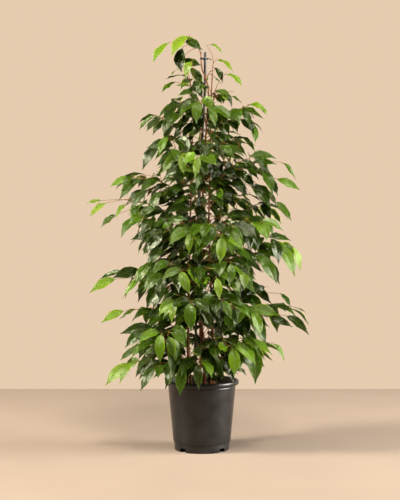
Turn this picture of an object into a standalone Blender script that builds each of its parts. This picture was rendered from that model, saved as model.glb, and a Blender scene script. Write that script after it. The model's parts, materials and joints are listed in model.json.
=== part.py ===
"""Potted weeping fig: a nursery pot and its soil, four slender stems tied to a cane, and leafy branches.

Metres, +Z up. The origin is on the floor under the middle of the pot, and the front of the plant faces -Y.
"""

import math
import random

import bmesh
import bpy
import numpy as np
from mathutils import Quaternion, Vector
from mathutils.bvhtree import BVHTree

MM = 0.001
UP = Vector((0, 0, 1))
COLLECTION_NAME = "potted_weeping_fig"

# Pot: a 21 cm thin-walled nursery pot
POT_HEIGHT = 197 * MM
RIM_RADIUS = 105 * MM
RIM_DEPTH = 13.5 * MM
WALL_TOP_RADIUS = 95.8 * MM
WALL_FOOT_RADIUS = 81.2 * MM
FOOT_RADIUS = 77.6 * MM
FOOT_HEIGHT = 22 * MM
WALL = 1.8 * MM
FLOOR_UNDERSIDE = 10 * MM
FLOOR_TOP = 12 * MM
POT_STEPS = 28
NOTCH_WIDTH = 16 * MM
NOTCH_HEIGHT = 9 * MM
NOTCH_AZIMUTHS = [math.radians(-43 + 90 * quarter) for quarter in range(4)]
STEP_HEIGHTS = (1 * MM, 3.5 * MM)
DRAIN_RADIUS = 6 * MM
DRAIN_RING = 46 * MM

# Soil
SOIL_TOP = 176 * MM
SOIL_DOME = 5 * MM
SOIL_LUMP = 1.6 * MM
SEAT_GAP = 0.35 * MM

# Cane and ties
CANE_RADIUS = 3.6 * MM
CANE_PATH = [
    (-19, 6, 100), (-19, 6, 190), (-16, 6, 400), (-10, 5, 680), (2, 4, 900), (8, 3, 1010), (9, 3, 1127),
]
TIE_HEIGHTS = [h * MM for h in (450, 646, 848, 1027, 1108)]
TIE_BAND = 1.6 * MM
TIE_DEPTH = 5 * MM
TIE_TAIL = 17 * MM
TIE_ARC_STEPS = 3

# Stems: points in millimetres, with the radius at the foot and at the top
STEMS = {
    "leader": {
        "points": [
            (8, -9, 100), (8, -9, 190), (1, -8, 320), (-2, -7, 450), (0, -7, 646), (8, -7, 848),
            (16, -5, 960), (16, -6, 1033), (9, -5.5, 1055), (1, -4, 1076), (-2, -1, 1098), (-3, 1, 1120),
        ],
        "radii": (4.6 * MM, 1.7 * MM),
    },
    "right": {
        "points": [
            (33, 6, 100), (33, 6, 190), (28, 6, 400), (20, 5, 640), (23, 6, 800), (25, 4, 900),
            (27, 2, 1000), (29, 0, 1046),
        ],
        "radii": (4.2 * MM, 1.6 * MM),
    },
    "left": {
        "points": [
            (-40, -14, 100), (-40, -14, 190), (-38, -14, 400), (-34, -12, 600), (-30, -8, 760),
            (-27, -4, 880),
        ],
        "radii": (4.0 * MM, 1.7 * MM),
    },
    "back": {
        "points": [
            (-4, 32, 100), (-4, 32, 190), (-5, 33, 400), (-6, 31, 640), (-4, 28, 800), (-6, 24, 940),
        ],
        "radii": (4.0 * MM, 1.6 * MM),
    },
}

# Branches: the stem, the root's height on it, then each shoot's end and the tip of the leaf there.
# All are in millimetres. The first shoot is the branch's own, and the others spring from it.
# A last number is the share of its shoots past which only their end leaves grow.
BRANCHES = [
    # crown
    ("leader", 1120, [((-88, -16, 1151), (-138, -34, 1089)), ((-34, -22, 1167), (-86, -50, 1104)),
                      ((-16, 4, 1160), (-76, 14, 1156)), ((-52, -2, 1142), (-58, -24, 1064)),
                      ((-46, -22, 1156), (2, -62, 1119)), ((-54, 8, 1112), (0, -32, 1082))], 0),
    ("right", 1046, [((38, 2, 1104), (90, 6, 1069)), ((14, 4, 1146), (58, -6, 1121)),
                     ((30, -8, 1082), (59, -32, 1032)), ((24, 16, 1066), (58, 16, 1036))], 0),
    ("right", 985, [((64, -16, 1060), (113, -46, 1020)), ((34, -44, 1009), (81, -66, 993)),
                    ((50, -50, 1004), (72, -62, 976)), ((80, 22, 1006), (116, 28, 984))], 0.35),
    ("leader", 985, [((-73, -6, 1040), (-114, -24, 1007)), ((-22, -50, 1007), (-68, -70, 991)),
                     ((-52, 20, 1086), (4, 34, 1040)), ((-28, -40, 1094), (-46, -62, 1040)),
                     ((-62, 22, 1084), (-94, 28, 1054)), ((-30, 12, 1032), (-76, 20, 1034))], 0.3),
    ("leader", 915, [((-8, -84, 977), (-16, -104, 909)), ((22, -88, 956), (36, -108, 900))]),
    ("leader", 885, [((-67, -40, 981), (-94, -60, 959)), ((-84, -52, 940), (-104, -70, 880))]),
    ("back", 930, [((-16, 86, 1000), (-40, 120, 950))]),
    # left side, downwards
    ("left", 870, [((-131, 10, 946), (-180, 14, 904)), ((-114, -44, 931), (-156, -54, 893))]),
    ("left", 780, [((-111, -30, 858), (-167, -36, 788)), ((-90, -66, 880), (-120, -86, 820))], 0.6),
    ("left", 700, [((-200, -10, 768), (-260, -22, 742)), ((-168, -22, 766), (-232, -36, 704)),
                   ((-192, 66, 778), (-252, 78, 746)), ((-150, -38, 735), (-198, -50, 676)),
                   ((-112, -64, 728), (-146, -84, 664)), ((-170, 30, 722), (-210, 38, 660))]),
    ("left", 620, [((-286, 10, 705), (-330, 4, 696)), ((-268, -8, 698), (-318, -20, 656)),
                   ((-238, -36, 664), (-283, -46, 626)),
                   ((-212, -36, 694), (-240, -58, 652))], 0.5),
    ("left", 560, [((-176, -84, 655), (-222, -104, 597)), ((-100, -134, 613), (-154, -154, 553))]),
    ("left", 530, [((-152, 104, 610), (-190, 130, 550))]),
    ("left", 420, [((-240, 0, 482), (-319, -10, 442)), ((-226, 30, 502), (-296, 40, 479))], 0.72),
    ("left", 440, [((-136, -114, 526), (-184, -134, 469))]),
    ("left", 345, [((-216, -10, 392), (-285, -20, 358)), ((-186, 40, 394), (-240, 56, 362))], 0.68),
    ("left", 300, [((-150, -84, 342), (-212, -104, 296)), ((-92, -146, 335), (-72, -170, 271))]),
    ("left", 215, [((-197, -40, 248), (-269, -60, 186)), ((-180, -6, 284), (-232, -10, 250)),
                   ((-150, -34, 300), (-198, -48, 262))]),
    ("left", 238, [((-125, -100, 246), (-167, -124, 180)), ((-108, -152, 343), (-112, -172, 262))]),
    # right side, downwards
    ("right", 890, [((152, 16, 981), (189, 20, 950)), ((108, -60, 956), (134, -84, 902)),
                    ((136, -24, 922), (148, -54, 862))]),
    ("right", 800, [((112, 84, 895), (158, 104, 850))]),
    ("right", 745, [((226, 16, 815), (269, 20, 764)), ((206, -26, 765), (276, -34, 732)),
                    ((176, -12, 776), (214, -26, 716)), ((170, 20, 742), (216, 26, 690)),
                    ((206, -8, 704), (254, -16, 646))], 0.7),
    ("right", 720, [((138, -84, 821), (184, -100, 778)), ((49, -114, 848), (90, -134, 808)),
                    ((140, -58, 738), (186, -74, 684))]),
    ("right", 600, [((186, 104, 690), (236, 120, 640))]),
    ("right", 560, [((166, -72, 642), (178, -94, 588)), ((115, -132, 621), (132, -158, 560))]),
    ("right", 500, [((249, 20, 578), (282, 24, 501)), ((206, -22, 580), (261, -34, 488)),
                    ((188, -50, 600), (212, -74, 523)), ((160, -40, 545), (216, -66, 468))]),
    ("right", 455, [((144, -124, 550), (203, -138, 472))]),
    ("right", 375, [((219, -30, 442), (248, -44, 404)), ((178, -70, 462), (121, -96, 440))], 0.6),
    ("right", 325, [((234, 8, 378), (305, 0, 322)), ((182, -66, 378), (252, -72, 350)),
                    ((256, 92, 396), (319, 124, 340)), ((126, -60, 380), (178, -78, 300))], 0.85),
    ("right", 340, [((130, -134, 402), (159, -156, 330))]),
    ("right", 240, [((200, 30, 297), (238, 40, 242))], 0.7),
    ("right", 225, [((123, -110, 308), (144, -132, 200))]),
    # front, downwards
    ("leader", 745, [((-54, -120, 825), (-48, -142, 766)), ((-10, -140, 818), (-20, -160, 756))]),
    ("leader", 560, [((-32, -175, 612), (-34, -194, 553)), ((35, -180, 630), (8, -204, 570))]),
    ("leader", 525, [((50, -192, 601), (46, -214, 527)), ((82, -168, 628), (98, -196, 564))]),
    ("leader", 425, [((-58, -190, 511), (-31, -210, 446)), ((-98, -160, 495), (-112, -182, 424))]),
    ("leader", 470, [((77, -185, 532), (71, -208, 468)), ((105, -150, 521), (112, -176, 456))]),
    ("leader", 365, [((37, -200, 493), (45, -220, 432)), ((54, -176, 431), (78, -200, 380))]),
    ("leader", 335, [((-31, -200, 430), (-29, -219, 349)), ((-69, -182, 426), (-81, -204, 372))]),
    ("leader", 262, [((79, -140, 305), (86, -164, 224))]),
    ("leader", 222, [((-12, -122, 258), (-8, -142, 186)), ((-46, -118, 249), (-60, -138, 170)),
                     ((59, -92, 270), (71, -114, 218))]),
    # back, downwards
    ("back", 850, [((62, 112, 905), (84, 150, 850))]),
    ("back", 760, [((-78, 136, 830), (-104, 172, 770))]),
    ("back", 660, [((58, 170, 725), (74, 210, 665)), ((122, 140, 705), (152, 168, 650))]),
    ("back", 560, [((-88, 176, 620), (-112, 214, 555)), ((-142, 138, 600), (-176, 164, 548))]),
    ("back", 455, [((84, 180, 520), (106, 216, 455)), ((6, 178, 505), (0, 214, 440))]),
    ("back", 350, [((-70, 172, 410), (-92, 210, 345))]),
    ("back", 245, [((48, 152, 300), (64, 186, 235))]),
]
RISE = math.radians(30)
FALL = math.radians(26)
TWIG_SEGMENTS = 5
TWIG_RADII = (2.3 * MM, 1.2 * MM)
SIDE_TWIG_RADII = (1.5 * MM, 1.1 * MM)
SIDE_TWIG_LENGTH = 88 * MM
SIDE_TWIG_EVERY = 112 * MM
SIDE_TWIG_SEGMENTS = 2
BARE_ROOT = 0.14
SIDE_BARE_ROOT = 0.16

# Leaves
LEAF_STEP = 18 * MM
LEAF_LENGTH = 82 * MM
LEAF_WIDTH_SHARE = 0.44
PETIOLE = 11 * MM
LEAF_THICKNESS = 0.8 * MM
FOLD = math.radians(16)
SHOULDER = (0.33, 0.90)
TAPER = (0.66, 0.84)
PATH_STEPS = 12
LEAF_TRIES = 12
CLEARANCE = 1.4 * MM
REACH = (Vector((-331, -234, 0)) * MM, Vector((320, 234, 1186)) * MM)
CROWN_FROM, CROWN_FULL = 850 * MM, 1050 * MM
SEED = 27

# Colours and finishes
POT_BLACK = (0.030, 0.028, 0.028)
SOIL_BROWN = (0.060, 0.032, 0.018)
CANE_BLACK = (0.012, 0.013, 0.014)
TIE_GREEN_BLACK = (0.012, 0.018, 0.016)
BARK_BROWN = (0.165, 0.062, 0.025)
LEAF_GREEN = (0.042, 0.120, 0.014)


def material(name, colour, roughness):
    made = bpy.data.materials.new(name)
    made.use_nodes = True
    shader = made.node_tree.nodes["Principled BSDF"]
    shader.inputs["Base Color"].default_value = (*colour, 1)
    shader.inputs["Roughness"].default_value = roughness
    shader.inputs["Metallic"].default_value = 0
    return made


def new_collection(name, hidden=False):
    made = bpy.data.collections.new(name)
    made.hide_render = hidden
    bpy.context.scene.collection.children.link(made)
    return made


def new_object(name, data, collection, finish=None):
    made = bpy.data.objects.new(name, data)
    collection.objects.link(made)
    if finish:
        data.materials.append(finish)
    return made


def shade_round(mesh, crease=math.radians(40)):
    mesh.shade_smooth()
    mesh.set_sharp_from_angle(angle=crease)


def millimetre_path(points):
    return [Vector(point) * MM for point in points]


def at_height(path, height):
    """The point of an upward path at this height."""
    for low, high in zip(path, path[1:]):
        if low.z <= height <= high.z:
            return low.lerp(high, (height - low.z) / (high.z - low.z))
    return path[-1].copy()


def along(path, share):
    """(point, direction) at this share of a polyline's length."""
    lengths = [(b - a).length for a, b in zip(path, path[1:])]
    left = share * sum(lengths)
    for a, b, length in zip(path, path[1:], lengths):
        if left <= length:
            return a.lerp(b, left / length), (b - a).normalized()
        left -= length
    return path[-1].copy(), (path[-1] - path[-2]).normalized()


def length_of(path):
    return sum((b - a).length for a, b in zip(path, path[1:]))


def shares_of(path):
    """Each point's share of the way along its polyline."""
    run = [0]
    for a, b in zip(path, path[1:]):
        run.append(run[-1] + (b - a).length)
    return [distance / run[-1] for distance in run]


def tube_object(name, path, radii, collection):
    """A tapered six-sided tube as a poly curve with filled caps."""
    curve = bpy.data.curves.new(name, "CURVE")
    curve.dimensions = "3D"
    curve.bevel_depth = 1
    curve.bevel_resolution = 1
    curve.use_fill_caps = True
    spline = curve.splines.new("POLY")
    spline.points.add(len(path) - 1)
    for point, place, share in zip(spline.points, path, shares_of(path)):
        point.co = (*place, 1)
        point.radius = radii[0] + (radii[1] - radii[0]) * share
    return new_object(name, curve, collection)


def mesh_of(obj):
    """The evaluated shape of an object as a new mesh, with a curve's caps welded on."""
    graph = bpy.context.evaluated_depsgraph_get()
    made = bpy.data.meshes.new_from_object(obj.evaluated_get(graph))
    welded = bmesh.new()
    welded.from_mesh(made)
    bmesh.ops.remove_doubles(welded, verts=welded.verts, dist=0.01 * MM)
    bmesh.ops.recalc_face_normals(welded, faces=welded.faces)
    welded.to_mesh(made)
    welded.free()
    return made


def solid_tube(name, path, radii, collection, finish):
    """A tube turned into a mesh object with welded caps."""
    tube = tube_object(name, path, radii, collection)
    mesh = mesh_of(tube)
    bpy.data.objects.remove(tube)
    mesh.materials.clear()
    shade_round(mesh)
    return new_object(name, mesh, collection, finish)


def swept_outline(name, path, radii, corners, closed, collection, finish):
    """An outline of corners swept along a path, which may be a closed loop, as a mesh object."""
    outline = bpy.data.curves.new(name + "_outline", "CURVE")
    edge = outline.splines.new("POLY")
    edge.points.add(len(corners) - 1)
    edge.use_cyclic_u = True
    for point, corner in zip(edge.points, corners):
        point.co = (*corner, 0, 1)
    outline_object = new_object(name + "_outline", outline, collection)
    rod = tube_object(name, path, radii, collection)
    rod.data.bevel_mode = "OBJECT"
    rod.data.bevel_object = outline_object
    rod.data.splines[0].use_cyclic_u = closed
    mesh = mesh_of(rod)
    mesh.materials.clear()
    bpy.data.objects.remove(rod)
    bpy.data.objects.remove(outline_object)
    return new_object(name, mesh, collection, finish)


def triangle_rod(name, path, radii, collection, finish):
    """A thin three-sided shoot along a path."""
    corners = [(math.cos(math.radians(turn)), math.sin(math.radians(turn))) for turn in (90, 210, 330)]
    return swept_outline(name, path, radii, corners, False, collection, finish)


def join_by(operation, obj, collection):
    """Applies one Boolean with a collection, whose objects are then removed."""
    join = obj.modifiers.new(operation.lower(), "BOOLEAN")
    join.operation = operation
    join.operand_type = "COLLECTION"
    join.collection = collection
    join.solver = "EXACT"
    graph = bpy.context.evaluated_depsgraph_get()
    joined = bpy.data.meshes.new_from_object(obj.evaluated_get(graph))
    obj.modifiers.clear()
    obj.data = joined
    for part in list(collection.objects):
        bpy.data.objects.remove(part)
    bpy.data.collections.remove(collection)


def turned(name, profile, steps, collection, finish):
    """A profile of (radius, height) pairs turned about Z, from the axis down its outer side to the axis."""
    outline = bmesh.new()
    points = [outline.verts.new((radius, 0, height)) for radius, height in profile]
    for a, b in zip(points, points[1:]):
        outline.edges.new((a, b))
    mesh = bpy.data.meshes.new(name)
    outline.to_mesh(mesh)
    outline.free()
    obj = new_object(name, mesh, collection, finish)
    screw = obj.modifiers.new("turn", "SCREW")
    screw.steps = screw.render_steps = steps
    screw.use_merge_vertices = True
    screw.merge_threshold = 0.0001
    screw.use_smooth_shade = True
    return obj


def box_cutter(name, size, place, azimuth, collection):
    """A box of this size, turned about Z to face outwards at this azimuth from the front."""
    block = bmesh.new()
    bmesh.ops.create_cube(block, size=1)
    bmesh.ops.scale(block, vec=size, verts=block.verts)
    mesh = bpy.data.meshes.new(name)
    block.to_mesh(mesh)
    block.free()
    obj = new_object(name, mesh, collection)
    obj.location = place
    obj.rotation_euler.z = azimuth
    obj.display_type = "WIRE"
    obj.hide_render = True
    return obj


def round_cutter(name, radius, low, high, centre, sides, collection):
    """An upright cylinder between two heights."""
    rod = bmesh.new()
    bmesh.ops.create_cone(
        rod, cap_ends=True, segments=sides, radius1=radius, radius2=radius, depth=high - low
    )
    mesh = bpy.data.meshes.new(name)
    rod.to_mesh(mesh)
    rod.free()
    obj = new_object(name, mesh, collection)
    obj.location = (centre[0], centre[1], (low + high) / 2)
    obj.display_type = "WIRE"
    obj.hide_render = True
    return obj


def inner_wall_radius(height):
    low, high = FOOT_HEIGHT + STEP_HEIGHTS[1], POT_HEIGHT - RIM_DEPTH
    return WALL_FOOT_RADIUS - WALL + (WALL_TOP_RADIUS - WALL_FOOT_RADIUS) * (height - low) / (high - low)


def rim_arc(steps=5):
    """The rolled edge, from its inner top round its outer side to its underside."""
    half_depth = RIM_DEPTH / 2
    middle = Vector((RIM_RADIUS - 5 * MM, POT_HEIGHT - half_depth))
    arc = []
    for step in range(steps + 1):
        turn = math.radians(118 - 205 * step / steps)
        arc.append((middle.x + 5 * MM * math.cos(turn), middle.y + half_depth * math.sin(turn)))
    return arc


def build_pot(collection):
    inner_foot = FOOT_RADIUS - WALL
    profile = [
        (0, FLOOR_TOP),
        (inner_foot, FLOOR_TOP),
        (inner_foot, FOOT_HEIGHT + STEP_HEIGHTS[0]),
        (WALL_FOOT_RADIUS - WALL, FOOT_HEIGHT + STEP_HEIGHTS[1]),
        (WALL_TOP_RADIUS - WALL, POT_HEIGHT - RIM_DEPTH),
        *rim_arc(),
        (WALL_TOP_RADIUS, POT_HEIGHT - RIM_DEPTH + 0.5 * MM),
        (WALL_FOOT_RADIUS, FOOT_HEIGHT + 2 * MM),
        (FOOT_RADIUS + 0.8 * MM, FOOT_HEIGHT),
        (FOOT_RADIUS, 1.2 * MM),
        (FOOT_RADIUS - 1 * MM, 0),
        (FOOT_RADIUS - 4 * MM, 0),
        (FOOT_RADIUS - 5 * MM, FLOOR_UNDERSIDE),
        (0, FLOOR_UNDERSIDE),
    ]
    pot = turned("pot", profile, POT_STEPS, collection, material("pot_plastic", POT_BLACK, 0.55))
    cutters = new_collection("pot_cutters", hidden=True)
    for azimuth in NOTCH_AZIMUTHS:
        outward = Vector((math.sin(azimuth), -math.cos(azimuth), 0))
        place = outward * FOOT_RADIUS + UP * (NOTCH_HEIGHT / 2 - 1 * MM)
        size = (NOTCH_WIDTH, 14 * MM, NOTCH_HEIGHT + 2 * MM)
        box_cutter("notch_cutter", size, place, azimuth, cutters)
        drain = outward * DRAIN_RING
        low, high = FLOOR_UNDERSIDE - 2 * MM, FLOOR_TOP + 2 * MM
        round_cutter("drain_cutter", DRAIN_RADIUS, low, high, drain, 8, cutters)
    join_by("DIFFERENCE", pot, cutters)
    shade_round(pot.data)
    return pot


def soil_relief(x, y):
    """Low lumps on the soil's surface, in metres."""
    return SOIL_LUMP * (
        math.sin(170 * x + 1.3) * math.cos(150 * y) + 0.6 * math.sin(310 * y + 240 * x)
    )


def build_soil(collection, stems, cane):
    """The root ball, with a plain hole round each stem and the cane."""
    edge_top = inner_wall_radius(SOIL_TOP) - SEAT_GAP
    rings = [0, 0.4, 0.8]
    top = [(edge_top * r, SOIL_TOP + SOIL_DOME * (1 - r * r)) for r in rings]
    step_low, step_high = [FOOT_HEIGHT + height + 2 * SEAT_GAP for height in STEP_HEIGHTS]
    profile = [
        *top,
        (edge_top, SOIL_TOP),
        (inner_wall_radius(step_high) - SEAT_GAP, step_high),
        (FOOT_RADIUS - WALL - SEAT_GAP, step_low),
        (FOOT_RADIUS - WALL - SEAT_GAP, FLOOR_TOP + SEAT_GAP),
        (0, FLOOR_TOP + SEAT_GAP),
    ]
    blank = turned("soil_blank", profile, POT_STEPS, collection, None)
    mesh = mesh_of(blank)
    bpy.data.objects.remove(blank)
    for vertex in mesh.vertices:
        from_edge = 1 - vertex.co.xy.length / edge_top
        if vertex.co.z > SOIL_TOP - 1 * MM and from_edge > 0.05:
            vertex.co.z += soil_relief(vertex.co.x, vertex.co.y)
    shade_round(mesh, math.radians(60))
    soil = new_object("soil", mesh, collection, material("potting_soil", SOIL_BROWN, 0.95))
    cutters = new_collection("soil_cutters", hidden=True)
    sides = 8
    for path, radius in [*((s["path"], s["radii"][0]) for s in stems.values()), (cane, CANE_RADIUS)]:
        hole = (radius + SEAT_GAP) / math.cos(math.pi / sides)
        round_cutter("stem_hole", hole, path[0].z - SEAT_GAP, SOIL_TOP + 30 * MM, path[0], sides, cutters)
    join_by("DIFFERENCE", soil, cutters)
    return soil


def stem_radius(stem, height):
    low, high = stem["path"][0].z, stem["path"][-1].z
    share = min(1, max(0, (height - low) / (high - low)))
    return stem["radii"][0] + (stem["radii"][1] - stem["radii"][0]) * share


def build_tie(name, height, leader, cane, collection, finish):
    """A plastic band round the cane and the leader, with a short tail past the cane."""
    post, shoot = at_height(cane, height), at_height(leader["path"], height)
    forward = flat(shoot - post).normalized()
    band_centre = TIE_BAND / 2 + SEAT_GAP
    near, far = CANE_RADIUS + band_centre, stem_radius(leader, height) + band_centre
    loop = []
    for centre, radius, first in ((shoot, far, -90), (post, near, 90)):
        for step in range(TIE_ARC_STEPS + 1):
            outward = Quaternion(UP, math.radians(first + 180 * step / TIE_ARC_STEPS)) @ forward
            loop.append(flat(centre) + UP * height + outward * radius / math.cos(math.pi / TIE_ARC_STEPS / 2))
    corners = [(x * TIE_BAND / 2, y * TIE_DEPTH / 2) for x, y in ((-1, -1), (1, -1), (1, 1), (-1, 1))]
    tie = swept_outline(name, loop, (1, 1), corners, True, collection, finish)
    tails = new_collection(name + "_tail")
    start = flat(post) + UP * height - forward * near
    end = start - forward * TIE_TAIL - UP * 3 * MM
    triangle_rod("tail", [start, start.lerp(end, 0.5) + UP * 1.5 * MM, end], (1.5 * MM, 1 * MM), tails, None)
    join_by("UNION", tie, tails)
    return tie


def flat(vector):
    return Vector((vector.x, vector.y, 0))


def outward_from_axis(point):
    away = flat(point)
    return away.normalized() if away.length > 1e-6 else Vector((0, -1, 0))


def arch(root, tip, rise, fall, segments):
    """A shoot that leaves its root and reaches its tip at these angles above and below the straight line."""
    line = tip - root
    outward = outward_from_axis(line)
    slope = math.atan2(line.z, flat(line).length)
    climb, dip = min(slope + rise, math.radians(82)), max(slope - fall, math.radians(-50))
    handle = line.length * 0.36
    first = root + (outward * math.cos(climb) + UP * math.sin(climb)) * handle
    second = tip - (outward * math.cos(dip) + UP * math.sin(dip)) * handle
    path = []
    for step in range(segments + 1):
        t = step / segments
        s = 1 - t
        path.append(root * s**3 + first * (3 * s * s * t) + second * (3 * s * t * t) + tip * t**3)
    return path


def prism(path, radius_at, sides=4):
    """Points and faces of a simple closed tube along a path, for clearance tests."""
    points, faces = [], []
    shares = shares_of(path)
    for index, place in enumerate(path):
        ahead = path[min(index + 1, len(path) - 1)] - path[max(index - 1, 0)]
        across = ahead.cross(Vector((0.31, 0.95, 0)) if abs(ahead.normalized().z) > 0.9 else UP).normalized()
        over = across.cross(ahead).normalized()
        for side in range(sides):
            turn = 2 * math.pi * side / sides
            offset = across * math.cos(turn) + over * math.sin(turn)
            points.append(place + offset * radius_at(shares[index]))
    for low in range(0, len(points) - sides, sides):
        for side in range(sides):
            beside = (side + 1) % sides
            faces.append((low + side, low + beside, low + sides + beside, low + sides + side))
    faces.append(tuple(reversed(range(sides))))
    faces.append(tuple(range(len(points) - sides, len(points))))
    return points, faces


class Thicket:
    """Everything already placed, so that a new twig or leaf can be kept clear of it."""

    def __init__(self):
        self.owners, self.trees = [], []
        self.lows, self.highs = np.empty((4096, 3)), np.empty((4096, 3))

    def add(self, owner, points, faces):
        count = len(self.owners)
        self.lows[count], self.highs[count] = box_of(points)
        self.owners.append(owner)
        self.trees.append(BVHTree.FromPolygons(points, faces))

    def take(self, owner, leaf):
        """Adds a leaf and returns True, if it stays in reach and touches only its own branch at its stalk."""
        if not all(REACH[0][axis] < leaf.line[-1][axis] < REACH[1][axis] for axis in range(3)):
            return False
        blade, stalk = leaf.envelope(), leaf.stalk()
        if self.meets(*blade) or self.meets(*stalk, leave_out=owner):
            return False
        self.add(owner, *blade)
        self.add(owner, *stalk)
        return True

    def meets(self, points, faces, leave_out=None):
        """True if the shape touches anything placed, apart from one owner's."""
        low, high = box_of(points)
        count = len(self.owners)
        near = np.nonzero(((self.lows[:count] <= high) & (self.highs[:count] >= low)).all(axis=1))[0]
        if not len(near):
            return False
        tree = BVHTree.FromPolygons(points, faces)
        return any(self.owners[index] != leave_out and tree.overlap(self.trees[index]) for index in near)


def box_of(points):
    columns = list(zip(*points))
    return [min(column) for column in columns], [max(column) for column in columns]


class Leaf:
    """One leaf. Its stalk leaves the twig along start, and the blade bends over to hang along hang."""

    def __init__(self, root, start, hang, facing, length, width, youth):
        self.root, self.start, self.hang, self.facing = root, start, hang, facing
        self.length, self.width, self.youth = length, width, youth
        self.lay_out()

    def lay_out(self):
        """Works out the points of the leaf's middle line, from the twig to the tip."""
        self.line = [self.root]
        for step in range(PATH_STEPS):
            ahead = self.direction((step + 0.5) / PATH_STEPS) * (self.length / PATH_STEPS)
            self.line.append(self.line[-1] + ahead)

    def direction(self, share):
        bend = 1 - (1 - share) ** 2.2
        return self.start.lerp(self.hang, bend).normalized()

    def station(self, share):
        """(centre, across, normal) at this share of the way from the twig to the leaf's tip."""
        step = min(int(share * PATH_STEPS), PATH_STEPS - 1)
        centre = self.line[step].lerp(self.line[step + 1], share * PATH_STEPS - step)
        direction = self.direction(share)
        across = direction.cross(self.facing).normalized()
        return centre, across, across.cross(direction).normalized()

    def section(self, share, half_width):
        """The middle of a blade's section, and the vector from there to its right edge."""
        centre, across, normal = self.station(share)
        return centre + normal * half_width * math.sin(FOLD) / 2, across * half_width, normal

    def stalk(self):
        """Points and faces of the stalk, for clearance tests."""
        path = [self.station(share)[0] for share in (0, 0.05, 0.10)]
        return prism(path, lambda share: (1 + 2.5 * share) * MM)

    def envelope(self):
        """Points and faces of a closed shape a little larger than the blade, for clearance tests."""
        points, faces = [], [(3, 2, 1, 0), (16, 17, 18, 19)]
        for share, half_width in (
            (0.09, self.width * 0.13),
            (0.30, self.width * 0.46),
            (0.48, self.width * 0.51),
            (0.70, self.width * 0.41),
            (1, 1 * MM),
        ):
            middle, out, normal = self.section(share, half_width)
            thick = normal * CLEARANCE
            points += [middle - out + thick, middle + out + thick]
            points += [middle + out - thick, middle - out - thick]
        for low in range(0, 16, 4):
            faces += [(low + k, low + (k + 1) % 4, low + 4 + (k + 1) % 4, low + 4 + k) for k in range(4)]
        return points, faces


class Twig:
    """A shoot: its path, its end radii, the bare share next to its root, and its end leaf's tip."""

    def __init__(self, path, radii, bare, leaf_tip=None):
        self.path, self.radii, self.bare, self.leaf_tip = path, radii, bare, leaf_tip
        self.leafy_to = 1

    def shape(self):
        thin, thick = self.radii[1], self.radii[0]
        return prism(self.path, lambda share: thick + (thin - thick) * share + 0.5 * MM * (share > 0.05), 6)


def jitter(rng, amount):
    return Vector([rng.uniform(-amount, amount) for _ in range(3)])


def front_of(place):
    """To the front, unless the place is at the back."""
    return Vector((0, -1, 0)) * min(1, max(0, (90 * MM - place.y) / (120 * MM)))


def upper_side(place):
    """Which way a leaf's upper side turns: up, outwards, and to the front unless it is at the back."""
    crown = min(1, max(0, (place.z - CROWN_FROM) / (CROWN_FULL - CROWN_FROM)))
    return outward_from_axis(place) * 0.45 + UP * (0.5 + 0.4 * crown) + front_of(place) * (0.7 - 0.2 * crown)


def leaf_beside(rng, twig, share, side, height_share):
    """Draws a leaf for one side of a twig at this share of its length."""
    root, ahead = along(twig.path, share)
    outward = outward_from_axis(root)
    lateral = ahead.cross(UP)
    lateral = (lateral.normalized() if lateral.length > 0.1 else outward.cross(UP).normalized()) * side
    start = ahead * 0.5 + lateral * 0.8 + UP * 0.3 + jitter(rng, 0.15)
    hang = outward * rng.uniform(0.15, 0.7) + lateral * rng.uniform(0.1, 0.8) + ahead * rng.uniform(0.1, 0.6)
    hang += jitter(rng, 0.2) - UP * rng.uniform(0.5, 1.5)
    facing = upper_side(root) + lateral * 0.3 + jitter(rng, 0.45)
    youth = max(0.0, (share - 0.7) / 0.3)
    blade = LEAF_LENGTH * rng.uniform(0.82, 1.18) * (1 - 0.2 * youth) * (1.12 - 0.28 * height_share)
    width = blade * LEAF_WIDTH_SHARE * rng.uniform(0.9, 1.1)
    ways = (start.normalized(), hang.normalized(), facing.normalized())
    return Leaf(root, *ways, blade + PETIOLE, width, youth)


def leaf_at_end(rng, twig):
    """The leaf that a shoot ends in, from the shoot's end to the given tip."""
    end, ahead = along(twig.path, 1)
    root = end - ahead * 2 * MM
    chord = twig.leaf_tip - root
    start = (ahead * 0.5 + UP * 0.25 + chord.normalized() * 0.8).normalized()
    hang = (chord.normalized() * 1.6 - start * 0.6).normalized()
    facing = (upper_side(end) + front_of(end) * 0.4 + jitter(rng, 0.2)).normalized()
    width = (chord.length - PETIOLE) * LEAF_WIDTH_SHARE * rng.uniform(0.95, 1.1)
    leaf = Leaf(root, start, hang, facing, chord.length, width, 1.0)
    reach = leaf.line[-1] - root
    turn = reach.rotation_difference(chord)
    leaf.start, leaf.hang = turn @ start, turn @ hang
    leaf.length *= chord.length / reach.length
    leaf.lay_out()
    return leaf


def main_shoot(name, stem, height, tip, leaf_tip, thicket):
    """A branch's own shoot, swung or raised a little where it would cross something."""
    at_top = height > stem["path"][-1].z - 2 * MM
    for attempt in range(15):
        swing = math.radians(4 * ((attempt + 1) // 2) * (1 if attempt % 2 else -1))
        level = height + 7 * MM * (attempt % 3) * (not at_top)
        axis = at_height(stem["path"], level)
        aim = axis + Quaternion(UP, swing) @ (tip - axis)
        towards = outward_from_axis(aim - axis)
        rise = math.radians(70) if at_top else RISE * min(1, (aim - axis).length / (220 * MM))
        climb = min(math.atan2(aim.z - level, flat(aim - axis).length) + rise, math.radians(82))
        off = stem_radius(stem, level) + TWIG_RADII[0] * math.sin(climb) + SEAT_GAP
        root = stem["path"][-1] + UP * (SEAT_GAP + TWIG_RADII[0]) if at_top else axis + towards * off
        twig = Twig(arch(root, aim, rise, FALL, TWIG_SEGMENTS), TWIG_RADII, BARE_ROOT, leaf_tip)
        if not thicket.meets(*twig.shape()):
            return twig
    print(name, "crosses something")
    return twig


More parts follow.
